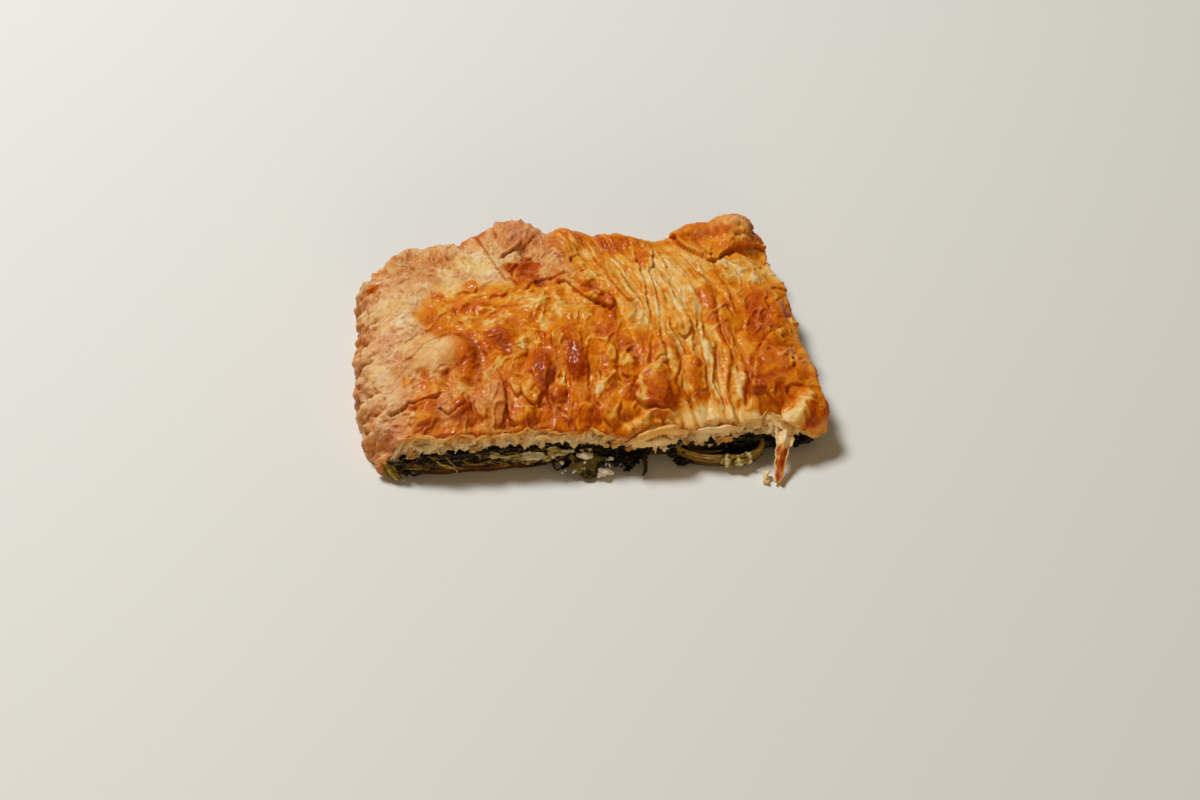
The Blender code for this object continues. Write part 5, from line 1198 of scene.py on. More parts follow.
# Pastry's material: the shared colours by the piece's own masks, with a glaze as coat.
def pastryMaterial(name, group, coat, bumpHeight, glow):
    material, tree, shader = newMaterial(name, {
        "Coat Roughness": pastry["coatRoughness"], "Specular IOR Level": pastry["specular"],
        "Specular Tint": pastry["specularTint"], "Subsurface Weight": glow,
        "Subsurface Radius": pastry["softness"], "Subsurface Scale": 1.6 * mm})
    shared = tree.nodes.new("ShaderNodeGroup")
    shared.node_tree = group
    for mask in ("bake", "matte", "crease", "rosy"):
        feed(tree, readMask(tree, mask), shared.inputs[mask.capitalize()])
    feed(tree, addNode(tree, "ShaderNodeTexCoord", "Object"), shared.inputs["Place"])
    colour, rough, glaze, grain = (Field(tree, socket) for socket in shared.outputs)
    feed(tree, colour, shader.inputs["Base Color"])
    feed(tree, rough, shader.inputs["Roughness"])
    feed(tree, glaze * coat, shader.inputs["Coat Weight"])
    bump = addNode(tree, "ShaderNodeBump", "Normal", Strength=0.9, Distance=bumpHeight * mm, Height=grain)
    feed(tree, bump, shader.inputs["Normal"])
    return material


# A moist food material: colours by the piece's shade and noise in Object coordinates, and a wet
# sheen.
def moistMaterial(name, stops, scale, roughness, coat, bumpHeight, glow=0.0, stretch=(1.0, 1.0, 1.0)):
    material, tree, shader = newMaterial(name, {
        "Specular IOR Level": 0.12, "Coat Weight": coat, "Coat Roughness": 0.14,
        "Subsurface Weight": glow, "Subsurface Radius": (1.0, 0.8, 0.4), "Subsurface Scale": 1.5 * mm})
    place = addNode(tree, "ShaderNodeMapping", "Vector", Scale=stretch,
                    Vector=addNode(tree, "ShaderNodeTexCoord", "Object"))
    big = addNode(tree, "ShaderNodeTexNoise", "Fac", Vector=place, Scale=scale, Detail=5.0, Roughness=0.62)
    small = addNode(tree, "ShaderNodeTexNoise", "Fac", Vector=place, Scale=6.0 * scale, Detail=3.0,
                    Roughness=0.6)
    share = (readMask(tree, "shade") + (big - 0.5) * 0.9).clipped()
    feed(tree, addRamp(tree, stops, share), shader.inputs["Base Color"])
    feed(tree, small * 0.2 + (roughness - 0.1), shader.inputs["Roughness"])
    bump = addNode(tree, "ShaderNodeBump", "Normal", Strength=0.6, Distance=bumpHeight * mm, Height=small)
    feed(tree, bump, shader.inputs["Normal"])
    return material


bakedPastry = pastryGroup()
crustFinish = pastryMaterial("glazed crust", bakedPastry, 0.17, 0.36, 0.12)
layerFinish = pastryMaterial("pastry layers", bakedPastry, 0.04, 0.2, 0.25)
# the base crust's dark browns are painted shade, for the strip that lies in shadow under the filling
baseFinish = moistMaterial(
    "shadowed base crust", ((0.0, "1E1006"), (0.4, "4A2A0E"), (0.7, "7E5220"), (1.0, "B88A48")),
    300.0, 0.6, 0.05, 0.15)
spinachFinish = moistMaterial(
    "cooked spinach", ((0.0, "080702"), (0.35, "1A1708"), (0.65, "3A3212"), (1.0, "7A6E30")),
    320.0, 0.42, 0.25, 0.15)
cheeseFinish = moistMaterial(
    "white cheese", ((0.0, "8E8A62"), (0.35, "CFC6A4"), (0.7, "EDE4CC"), (1.0, "F7F1E2")),
    260.0, 0.55, 0.1, 0.2, 0.2)
leekFinish = moistMaterial(
    "cooked leek",
    ((0.0, "241A04"), (0.35, "66490C"), (0.6, "96751E"), (0.8, "B8A24E"), (1.0, "DED4AC")),
    240.0, 0.32, 0.4, 0.06, 0.25, (1.0, 6.0, 6.0))
print("materials made")


crust = {
    "columns": 400,
    "rows": 244,
    "behindLayers": 1.0,              # how much thicker the wall is where layers hang before it
    # the masks of the underside
    "under": {"bake": 0.12, "matte": 1.0, "crease": 0.3, "rosy": 0.0},
}


# The top crust: the displaced surface over the whole square, its rim turned under by rings at the
# lip and the ceiling, and a flat middle closed to one point.
def buildCrust():
    columns, rows = crust["columns"] + 1, crust["rows"] + 1
    t, s = np.meshgrid(np.linspace(-1, 1, rows), np.linspace(-1, 1, columns), indexing="ij")
    points, masks = crustSurface(s, t)
    count = rows * columns
    index = np.arange(count).reshape(rows, columns)
    rim = np.concatenate([index[0, :-1], index[:-1, -1], index[-1, :0:-1], index[:0:-1, 0]])
    sRim, tRim = s.ravel()[rim], t.ravel()[rim]
    cut = cutShare(sRim, tRim)
    lip = lipHeight(sRim, tRim)
    wall = form["lipWall"] - (form["lipWall"] - form["cutLipWall"]) * cut + lipRecess(sRim, tRim)
    wall = wall + crust["behindLayers"] * cut
    overBase = np.maximum(lip + 0.6, form["bottomCrust"] + 2.0 * form["layerGap"])
    rings = [ringPlace(sRim, tRim, wall, lip), ringPlace(sRim, tRim, wall + 0.2, overBase),
             ringPlace(sRim, tRim, form["ceilingInset"], form["ceiling"])]
    under = np.concatenate(rings + [np.array([[0.0, 0.0, form["ceiling"]]])])
    loops = [rim] + [count + ring * len(rim) + np.arange(len(rim)) for ring in range(3)]
    quads = [gridFaces(rows, columns)]
    for outer, inner in zip(loops, loops[1:]):
        quads.append(np.stack([np.roll(outer, -1), outer, inner, np.roll(inner, -1)], axis=-1))
    middle = np.full(len(rim), count + 3 * len(rim))
    tips = np.stack([np.roll(loops[-1], -1), loops[-1], middle], axis=-1)
    masks = {name: np.concatenate([values.ravel(), np.full(len(under), crust["under"][name])])
             for name, values in masks.items()}
    addPiece("top_crust_baked", np.concatenate([points.reshape(-1, 3), under]),
             [np.concatenate(quads), tips], masks, crustFinish, "top_crust")


buildCrust()


fringe = {
    "columns": 1000,
    "rows": 12,
    "from": 0.712,                    # round the outline, from the left end of the front
    "to": 1.192,                      # to the rear of the right end
    "thickness": 0.32,
    "lowest": 3.0,
    # strips of torn pastry: top and foot as shares of the cut face below the skin, how far back its
    # top lies and how far its foot flares, width of the lobes and how deep the gaps between them
    # are, browning, seed
    "outer": (
        (-0.06, 0.62, -0.6, 1.6, 6.6, 1.2, 0.12, 401),
        (0.20, 0.92, -0.9, 1.6, 5.0, 1.3, 0.04, 402),
        (0.40, 1.12, -1.3, 1.4, 7.6, 1.3, 0.0, 403),
    ),
    "inner": (
        (0.55, 1.34, -1.7, 1.0, 4.2, 1.0, 0.30, 404),
        (0.50, 1.22, -2.1, 0.9, 5.8, 0.9, 0.45, 405),
        (0.02, 0.80, -0.9, 1.7, 3.6, 1.2, 0.12, 406),
    ),
    # long teeth: place along X, length, half width
    "teeth": ((-43.2, 1.8, 1.0), (-35.6, 2.2, 1.1), (-34.2, 4.6, 0.7), (-30.0, 1.4, 0.9), (-5.0, 1.2, 1.2),
              (12.0, 1.4, 1.4), (31.0, 1.0, 1.6), (57.0, 2.4, 1.4)),
}


# The crust's cut face: for each place round the cut rim its points at the skin's edge and at the
# lip, evened along the rim, the level outward direction, and how far down the skin hangs.
def cutFace(turns):
    s, t = squareDirection(turns)
    cut = cutShare(s, t)
    topShare = form["bakedTopShare"] + (form["cutTopShare"] - form["bakedTopShare"]) * cut
    edge = np.minimum(skirt(s, t), 0.93)
    levels = np.stack([edge, np.ones_like(edge), edge + 0.03])
    reach = topShare + (1.0 - topShare) * levels
    # here the rows run down the face and not across the sheet, so the surface is flipped
    points, _ = crustSurface(s * reach, t * reach, -1.0)
    spread = np.exp(-np.linspace(-2, 2, 13) ** 2)
    spread /= spread.sum()
    wide = np.pad(points, ((0, 0), (6, 6), (0, 0)), mode="edge")
    upper, lower, _ = sum(share * wide[:, i:i + len(s)] for i, share in enumerate(spread))
    outward = faceOut(s, t)
    return upper, lower + relief["layerRecess"] * outward, outward, skirt(s, t)


# Torn strips of pastry hung down the cut face: each falls from the skin's edge towards the lip and
# flares out in round lobes, the size of a sine to a power, pinched in between them and darkened
# there with painted shade.
def buildFringe(name, strips):
    turns = np.linspace(fringe["from"], fringe["to"], fringe["columns"])
    upper, lower, outward, hang = cutFace(turns)
    sideways = np.stack([-outward[:, 1], outward[:, 0], 0.0 * outward[:, 0]], axis=-1)
    along = (turns - fringe["from"]) * form["outlineLength"]
    level = 0.0 * along
    # no strips where the skin hangs all the way down, at the corner
    gone = smooth((hang - 0.72) / 0.2)
    share = np.linspace(0.0, 1.0, fringe["rows"])[:, None]
    place = along + 0.0 * share
    grids = []
    bakes = []
    creases = []
    for top, foot, back, flare, width, gaps, tone, seed in strips:
        turn = math.pi * (along / width + 0.8 * noise(along, level, 1.7 * width, seed + 40)) + 0.5 * share
        lobes = np.abs(np.sin(turn)) ** 0.65
        size = 0.65 + 0.7 * noise(along, level, 9.0, seed + 50) + 0.25 * noise(along, level, 3.0, seed + 55)
        teeth = noise(along, level, 2.6, seed + 20) + 0.7 * noise(along, level, 1.1, seed + 30)
        length = (foot - top) * (0.78 + 0.32 * lobes) + 0.10 * gaps * teeth
        down = top + share * length
        out = back + flare * size * (0.35 + 0.9 * lobes) * share ** 1.2
        out = out - 1.1 * gaps * (1.0 - lobes) * share + 0.34 * noise(place, 4.0 * share, 1.3, seed + 70)
        side = 0.5 * size * np.sin(2.0 * turn) * share
        grid = upper + down[..., None] * (lower - upper) + side[..., None] * sideways
        grid += (out - 2.6 * gone)[..., None] * outward
        # the feet of the lobes curl up a little
        grid[..., 2] += 0.5 * np.clip(lobes * size, 0.0, 1.0) * share ** 3
        if seed % 2:
            for toothX, toothLength, halfWidth in fringe["teeth"]:
                near = np.exp(-np.abs((upper[:, 0] - toothX) / halfWidth) ** 1.5) * (upper[:, 1] < -45.0)
                grid[..., 2] -= 0.5 * toothLength * near * share ** 2
        grid[..., 2] = np.maximum(grid[..., 2], fringe["lowest"])
        grids.append(grid)
        crisp = noise(place, 2.0 * share, 2.2, seed + 60)
        lines = noise(0.25 * place, 9.0 * share + 0.4 * crisp, 1.0, seed + 80)
        # browner in the gaps between the lobes: painted shade
        bake = tone + 0.18 * crisp + 0.14 * lines + 0.6 * (1.0 - lobes) ** 1.5
        # the upper ends keep the crust's own browning
        bake = bake + (0.42 - 0.3 * smooth((upper[:, 0] - 12.0) / 14.0)) * smooth((0.55 - share) / 0.5)
        bakes.append(np.clip(bake - 0.4 * smooth((share - 0.55) / 0.25), 0.0, 1.0))
        # darker in the gaps, the more so towards the foot: painted shade
        creases.append(np.clip(1.2 * (1.0 - lobes) ** 2.0 * (0.5 + share), 0.0, 1.0))
    # rows run downwards, so the grid is turned to face out
    points, faces = thinSheets(np.stack(grids)[:, ::-1], fringe["thickness"])
    bake, crease = (np.concatenate([np.tile(one[::-1].ravel(), 2) for one in part])
                    for part in (bakes, creases))
    masks = {"bake": bake, "matte": 0.3, "crease": crease}
    addPiece(name, points, [faces], masks, layerFinish, "top_crust")


buildFringe("outer_layers", fringe["outer"])
buildFringe("inner_layers", fringe["inner"])

curls = {
    # curled edges of pastry: middle, half length, half height, half thickness, browning
    "loops": (
        ((-70.6, -49.2, 4.6), 1.7, 2.4, 1.1, 0.6), ((-41.5, -50.4, 13.0), 4.6, 0.8, 0.6, 0.42),
        ((-29.0, -51.0, 13.2), 3.6, 1.5, 0.7, 0.3), ((-16.5, -52.2, 12.6), 6.2, 0.9, 0.55, 0.16),
    ),
    # raised folds along the edge: run, half width, half height, browning
    "folds": (
        (((9.5, -54.4, 9.6), (13.5, -54.9, 11.8), (18.0, -54.7, 13.6), (22.0, -54.2, 14.0),
          (26.0, -53.8, 12.9), (29.5, -53.4, 11.4)), 1.2, 1.9, 0.24),
        (((11.0, -54.6, 8.6), (16.0, -55.3, 9.6), (21.0, -55.0, 9.8), (25.0, -54.2, 9.0)), 0.9, 1.6, 0.06),
        (((32.0, -53.6, 11.8), (35.5, -54.4, 12.8), (39.0, -54.2, 12.4), (43.0, -54.4, 13.0),
          (47.0, -54.0, 12.0)), 0.8, 1.3, 0.08),
    ),
    "steps": 40,                      # along each loop
    # the wavy rim: where it runs round the outline, its points, its length and its browning
    "rimFrom": 0.722,
    "rimTo": 0.868,
    "rimSteps": 460,
    "rimLength": 75.0,
    "rimBake": 0.26,
}


# Curled edges: open loops and folds of pastry as uneven tubes along the skin's edge.
def buildCurls():
    sets = []
    bakes = []
    steps = curls["steps"]
    for index, (middle, halfLength, halfHeight, thick, bake) in enumerate(curls["loops"]):
        turn = np.linspace(-0.35 * math.pi, 1.30 * math.pi, steps)[:, None]
        swirl = np.linspace(1.0, 0.65, steps)[:, None]
        run = np.array(middle) + swirl * (np.cos(turn) * np.array([halfLength, 0.0, 0.0])
                                          + np.sin(turn) * np.array([0.0, -0.25, 1.0]) * halfHeight)
        taper = np.sin(np.linspace(0.5, 2.7, steps))
        uneven = thick * (1.0 + 0.3 * np.sin(2.3 * turn[:, 0] + index)) * taper
        sets.append(tubeAlong(run, uneven, uneven, 12))
        bakes.append(bake)
    for run, halfWidth, halfHeight, bake in curls["folds"]:
        run = smoothRun(run, 16)
        taper = np.sin(np.linspace(0.35, 2.8, len(run)))
        taper = taper * (1.0 + 0.2 * np.sin(np.linspace(0.0, 11.0, len(run))))
        sets.append(tubeAlong(run, halfWidth * taper, halfHeight * taper, 14))
        bakes.append(bake)
    # the wavy rim of the skin, thick and thin by turns
    upper, _, outward, _ = cutFace(np.linspace(curls["rimFrom"], curls["rimTo"], curls["rimSteps"]))
    along = np.linspace(0.0, curls["rimLength"], curls["rimSteps"])
    level = 0.0 * along
    rim = upper + outward * (0.7 + 0.6 * noise(along, level, 4.0, 445))[:, None]
    rim[:, 2] += 0.3 + 0.9 * noise(along, level, 5.0, 446)
    size = smooth(0.5 + 1.2 * noise(along, level, 6.0, 447)) * (0.7 + 0.6 * noise(along, level, 1.6, 448))
    size = 0.1 + 0.5 * size
    sets.append(tubeAlong(rim, 0.9 * size, 1.3 * size, 12))
    bakes.append(curls["rimBake"])
    bake = np.concatenate([np.full(len(one[0]), value) for one, value in zip(sets, bakes)])
    points, faces = joined(sets)
    x, y, z = points.T.copy()
    wander = noise(x + y, z, 1.6, 441)
    broad = noise(x, z, 3.4, 444)
    shift = np.stack([wander + broad, 0.6 * wander, noise(x, z, 1.9, 442) + broad], axis=-1)
    points = points + 0.4 * shift
    x, _, z = points.T
    bake = np.clip(bake + 0.12 * wander + 0.1 * noise(x, z, 3.0, 443), 0.0, 1.0)
    masks = {"bake": bake, "matte": 0.15 + 0.7 * smooth((-x - 66.0) / 3.0), "crease": 0.0}
    addPiece("curled_edges", points, faces, masks, layerFinish, "top_crust")


shreds = {
    # hanging shreds of torn pastry: how many, where they start and end round the outline, and the
    # ranges of their half length, half width, heading, tilt and roll
    "count": 46,
    "from": 0.722,
    "to": 0.975,
    "ranges": ((0.9, 2.2), (0.5, 1.2), (-0.5, 0.5), (0.5, 1.5), (-0.5, 0.5)),
    "thickness": 0.25,
}


# Small torn shreds that hang at seeded places along the foot of the cut face.
def buildShreds():
    draw = np.random.default_rng(431)
    count = shreds["count"]
    turns = np.sort(draw.uniform(shreds["from"], shreds["to"], count))
    places = np.linspace(fringe["from"], fringe["to"], fringe["columns"])
    upper, lower, outward, _ = cutFace(places)
    nearest = np.argmin(np.abs(turns[:, None] - places), axis=1)
    share = draw.uniform(0.25, 1.15, count)
    centres = upper[nearest] + share[:, None] * (lower - upper)[nearest]
    centres += outward[nearest] * draw.uniform(-0.2, 0.9, count)[:, None]
    grids = scatteredLeaves(draw, centres, shreds["ranges"], 0.4, 432)
    points, faces = thinSheets(grids, shreds["thickness"])
    masks = {"bake": perSheet(draw.uniform(0.0, 0.4, count), grids), "matte": 0.45, "crease": 0.0}
    addPiece("torn_shreds", points, [faces], masks, layerFinish, "top_crust")


flake = {
    # the run of the torn flake from the cut edge to its end, its half width at the start, the
    # middle and the end
    "run": ((62.6, -50.5, 9.4), (61.6, -58.2, 9.8), (59.4, -61.8, 4.4), (57.0, -69.2, 1.6)),
    "halfWidths": (3.4, 2.4, 1.2),
    "thickness": 0.45,
    "rows": 72,
    "columns": 34,
    # the crumb beside its end: centre and radii
    "crumbs": (((53.6, -66.6, 1.3), (0.9, 2.2, 0.9)), ((54.6, -65.0, 2.0), (0.8, 1.0, 0.9)),
               ((53.2, -68.0, 0.9), (0.7, 0.8, 0.6))),
}


# The torn flake: a sheet carried along a cubic Bezier run, ruffled across and narrowing, pale with
# ragged red-brown patches, and the white crumb beside its end.
def buildFlake():
    along = np.linspace(0.0, 1.0, flake["rows"])[:, None]
    across = np.linspace(-1.0, 1.0, flake["columns"])[None]
    knots = np.array(flake["run"])
    weights = [(1 - along) ** 3, 3 * along * (1 - along) ** 2, 3 * along ** 2 * (1 - along), along ** 3]
    centre = sum(weight[..., None] * knot for weight, knot in zip(weights, knots))
    halfWidth = np.interp(along, (0.0, 0.45, 1.0), flake["halfWidths"])
    ragged = 1.0 + 0.30 * np.abs(across) * noise(20.0 * along, 3.0 * np.sign(across), 2.0, 421)
    ragged = ragged + 0.16 * np.abs(across) * noise(20.0 * along, 3.0 * np.sign(across), 0.8, 424)
    points = np.broadcast_to(centre, (flake["rows"], flake["columns"], 3)).copy()
    points[..., 0] += across * halfWidth * ragged
    wide = across + 0.0 * along
    fold = 0.55 * np.sin(2.4 * across + 5.0 * along) + 0.45 * np.sin(5.5 * across + 4.0 * along)
    points[..., 2] += fold + 0.45 * noise(3.0 * wide, 14.0 * along, 1.2, 422)
    points[..., 1] -= 0.4 * fold - 0.5 * noise(3.0 * wide, 20.0 * along, 2.6, 425)
    points[..., 2] = np.maximum(points[..., 2], 0.5)
    patches = smooth(0.75 + 1.6 * noise(3.4 * wide, 15.0 * along, 2.3, 423))
    rim = smooth((1.0 - np.abs(across + 0.12 * noise(20.0 * along, 0.0 * across, 2.0, 426))) / 0.3)
    bake = 0.04 + 0.8 * patches * rim * smooth((along - 0.34) / 0.12) * smooth((1.05 - along) / 0.1)
    bake = np.clip(bake + 0.14 * noise(4.0 * wide, 18.0 * along, 1.2, 427), 0.0, 1.0)
    points, faces = thinSheets(points[None, ::-1], flake["thickness"])
    crumbCentres, crumbRadii = (np.array(part, dtype=float) for part in zip(*flake["crumbs"]))
    crumb = lumpyBalls(crumbCentres, crumbRadii, 0.4, 428, 12, 18)
    crumb[0][:, 2] = np.maximum(crumb[0][:, 2], 0.2)
    bake = np.concatenate([np.tile(bake[::-1].ravel(), 2), np.full(len(crumb[0]), 0.02)])
    points, faces = joined([(points, faces, None), crumb])
    masks = {"bake": bake, "matte": 0.35, "crease": 0.0}
    addPiece("torn_flake", points, faces, masks, layerFinish, "top_crust")


buildCurls()
buildFlake()
print("cut edge made")


base = {
    "sides": 900,
    "faceRows": 10,
    "bakedInset": 3.1,
    "foot": 0.25,                     # the height where the rounded foot ends
}


# A closed stack of rings round the outline, from (inset, height) pairs, with a point at the middle
# of its first and last ring.
def ringStack(s, t, levels):
    rings = [ringPlace(s, t, inset, height) for inset, height in levels]
    middles = [ring.mean(axis=0)[None] for ring in (rings[0], rings[-1])]
    return np.concatenate(rings + middles), list(stackFaces(len(rings), len(s)))


# The flat bottom crust: its cut edge is laminated by fine noise that runs along it.
def buildBase():
    turns = np.linspace(0.0, 1.0, base["sides"], endpoint=False)
    s, t = squareDirection(turns)
    cut = smooth((cutShare(s, t) - 0.5) / 0.45)
    along = turns * form["outlineLength"]
    baked = base["bakedInset"]
    cutInset = 0.5 + 1.2 * smooth((form["halfLength"] * s + 24.0) / 8.0)
    edge = baked + (cutInset - baked) * cut + 0.35 * np.sin(31.0 * (s + t)) * cut
    levels = [(edge + 6.0, 0.0), (edge + 0.7, 0.0)]
    bakes = [np.full(len(s), 0.7), np.full(len(s), 0.75)]
    for share in np.linspace(0.0, 1.0, base["faceRows"]):
        height = base["foot"] + (form["bottomCrust"] - base["foot"]) * share
        height = height + 0.48 * noise(along, 9.0 * share, 3.0, 433) * cut * share * (1.0 - share)
        thick = 0.22 * crests(along, 40.0 * share, 5.0, 431) + 0.16 * noise(along, 30.0 * share, 1.5, 432)
        thick = thick * cut - 0.25 * (1.0 - 4.0 * (share - 0.5) ** 2)
        levels.append((edge + thick, height))
        # darker towards the foot of the cut edge: painted shade
        bakes.append(np.clip(0.95 - 0.2 * share + 0.3 * noise(along, 12.0 * share, 2.6, 434), 0.0, 1.0))
    levels.append((edge + 1.2, form["bottomCrust"]))
    bakes.append(np.full(len(s), 0.3))
    points, faces = ringStack(s, t, levels)
    masks = {"shade": 1.25 - np.concatenate(bakes + [[0.7, 0.3]])}
    addPiece("base_crust", points, faces, masks, baseFinish, "bottom_crust")


buildBase()
print("bottom crust made")


filling = {
    "sides": 900,
    "faceRows": 22,
    "bakedInset": 3.4,
    # lumps of cheese: centre and radii
    "cheese": (
        ((-4.6, -54.6, 6.2), (1.5, 1.2, 0.9)), ((-2.8, -54.9, 6.0), (0.9, 0.8, 0.7)),
        ((-6.3, -54.2, 6.1), (0.7, 0.7, 0.5)), ((1.4, -59.0, 1.9), (1.7, 1.3, 1.1)),
        ((3.2, -59.2, 1.7), (0.9, 0.8, 0.8)), ((-0.4, -60.0, 1.5), (0.8, 0.6, 0.7)),
        ((-14.6, -52.6, 5.2), (0.9, 0.7, 0.8)), ((-16.0, -52.4, 6.2), (0.5, 0.4, 0.4)),
        ((3.8, -55.8, 5.0), (0.9, 0.7, 0.6)), ((75.0, -22.0, 5.4), (1.7, 2.6, 1.3)),
        ((74.8, 12.0, 5.6), (1.5, 2.1, 1.2)), ((75.2, 14.6, 4.4), (1.0, 1.3, 0.9)),
        ((74.8, 33.0, 5.0), (1.2, 1.8, 1.0)),
    ),
    "crumbs": 44,
    "lowest": 0.4,
}


# The inside of the filling: upright and lumpy at the cut, tapering under the baked edges.
def buildCore():
    turns = np.linspace(0.0, 1.0, filling["sides"], endpoint=False)
    s, t = squareDirection(turns)
    cut = smooth((cutShare(s, t) - 0.5) / 0.45)
    along = turns * form["outlineLength"]
    level = 0.0 * s
    floor = form["bottomCrust"] + form["layerGap"]
    lip = lipHeight(s, t)
    top = np.maximum(lip - 2.0 * form["layerGap"], floor + 0.3)
    baked = filling["bakedInset"]
    levels = [(level + 20.0, level + floor), (baked + (1.6 - baked) * cut, level + floor)]
    for share in np.linspace(0.0, 1.0, filling["faceRows"]):
        taper = 0.6 * share
        height = 6.0 * share
        lumpy = 0.6 * np.sin(37.0 * s + 3.0 * share) * np.sin(23.0 * t + 19.0 * s + 5.0 * share)
        lumpy = lumpy - 0.55 * noise(along, height, 3.2, 441) - 0.4 * crests(along, 1.8 * height, 2.2, 442)
        lumpy = lumpy - 0.18 * noise(along, height, 0.8, 443)
        upright = 1.1 + lumpy + 0.5 * share
        slanted = baked + 9.2 * taper
        slantedHeight = floor + (form["fillingTop"] - floor) * taper
        uprightHeight = floor + (top - floor) * share
        levels.append((slanted + (upright - slanted) * cut,
                       slantedHeight + (uprightHeight - slantedHeight) * cut))
    levels.append((10.6 - 5.4 * cut, 10.0 + (lip - form["layerGap"] - 10.0) * cut))
    levels.append((level + 12.8, level + form["fillingTop"]))
    points, faces = ringStack(s, t, levels)
    shade = 0.12 + 0.3 * noise(points[:, 0], points[:, 1] + 3.0 * points[:, 2], 4.0, 444)
    addPiece("filling_core", points, faces, {"shade": np.clip(shade, 0.0, 1.0)}, spinachFinish, "filling")


leaves = {
    "rows": 15,
    "columns": 11,
    "thickness": 0.22,
    # sets of leaves: how many, the ranges of their half length, half width, heading, tilt and roll,
    # how crumpled, seed
    "front": (96, ((2.0, 4.6), (0.9, 1.9), (-0.35, 0.35), (0.2, 1.3), (-0.4, 0.4)), 0.55, 452),
    "end": (34, ((2.0, 4.2), (0.9, 1.7), (0.5 * math.pi - 0.3, 0.5 * math.pi + 0.3), (0.2, 1.2),
                 (-0.3, 0.3)), 0.5, 453),
    "cluster": (30, ((1.8, 3.6), (1.2, 2.2), (-1.2, 1.2), (0.1, 0.9), (-0.5, 0.5)), 0.7, 454),
    "hollow": (26, ((2.0, 3.8), (1.0, 1.9), (-0.6, 0.6), (0.1, 0.8), (-0.3, 0.3)), 0.6, 456),
    # the broad olive leaf on top of the cluster and two dark ones beside it: centre, half length,
    # half width, heading, tilt, roll
    "named": (((-4.2, -55.6, 4.4), 5.6, 4.2, 0.25, 0.62, 0.05),
              ((7.5, -54.6, 4.4), 5.4, 2.8, -0.2, 0.5, 0.1), ((-3.0, -59.2, 1.9), 3.4, 1.5, 0.1, 0.5, 0.0)),
    "namedShades": (0.95, 0.15, 0.6),
    "highest": 9.0,
}


# Crumpled leaves: each a grid turned by its heading, tilt and roll, waved by sines of its own, with
# an uneven outline. Gives a stack of grids.
def leafGrids(centres, lengths, widths, headings, tilts, rolls, crumple, seed):
    draw = np.random.default_rng(seed)
    count = len(centres)
    v = np.linspace(-1, 1, leaves["rows"])[:, None]
    u = np.linspace(-1, 1, leaves["columns"])[None]
    phase = draw.uniform(0.0, 2.0 * math.pi, (8, count, 1, 1))
    pace = draw.uniform(0.8, 1.5, (8, count, 1, 1))
    lengths, widths, headings, tilts, rolls = (
        np.asarray(value, dtype=float)[:, None, None] for value in (lengths, widths, headings, tilts, rolls))
    roundU = u * (1.0 - 0.30 * v ** 2 + 0.16 * np.sin(4.0 * pace[0] * v + phase[0]))
    roundV = v * (1.0 - 0.30 * u ** 2 + 0.16 * np.sin(4.5 * pace[1] * u + phase[1]))
    wave = (np.sin(2.6 * pace[2] * u + phase[2]) + np.sin(3.4 * pace[3] * v + phase[3])
            + 0.8 * np.sin(5.0 * pace[4] * (u + v) + phase[4])
            + 0.7 * np.sin(6.4 * pace[5] * (u - v) + phase[5])
            + 0.5 * np.sin(9.0 * pace[6] * u + phase[6]) + 0.5 * np.sin(10.0 * pace[7] * v + phase[7]))
    local = np.stack([roundU * lengths, roundV * widths, 0.5 * crumple * wave], axis=-1)
    for angle, first, second in ((rolls, 0, 2), (tilts, 1, 2), (headings, 0, 1)):
        a, b = local[..., first].copy(), local[..., second].copy()
        local[..., first] = a * np.cos(angle) - b * np.sin(angle)
        local[..., second] = a * np.sin(angle) + b * np.cos(angle)
    return local + np.asarray(centres, dtype=float)[:, None, None, :]


# Leaves at the given centres, with sizes and turns drawn from ranges in leafGrids' own order.
def scatteredLeaves(draw, centres, ranges, crumple, seed):
    drawn = [draw.uniform(low, high, len(centres)) for low, high in ranges]
    return leafGrids(centres, *drawn, crumple, seed)


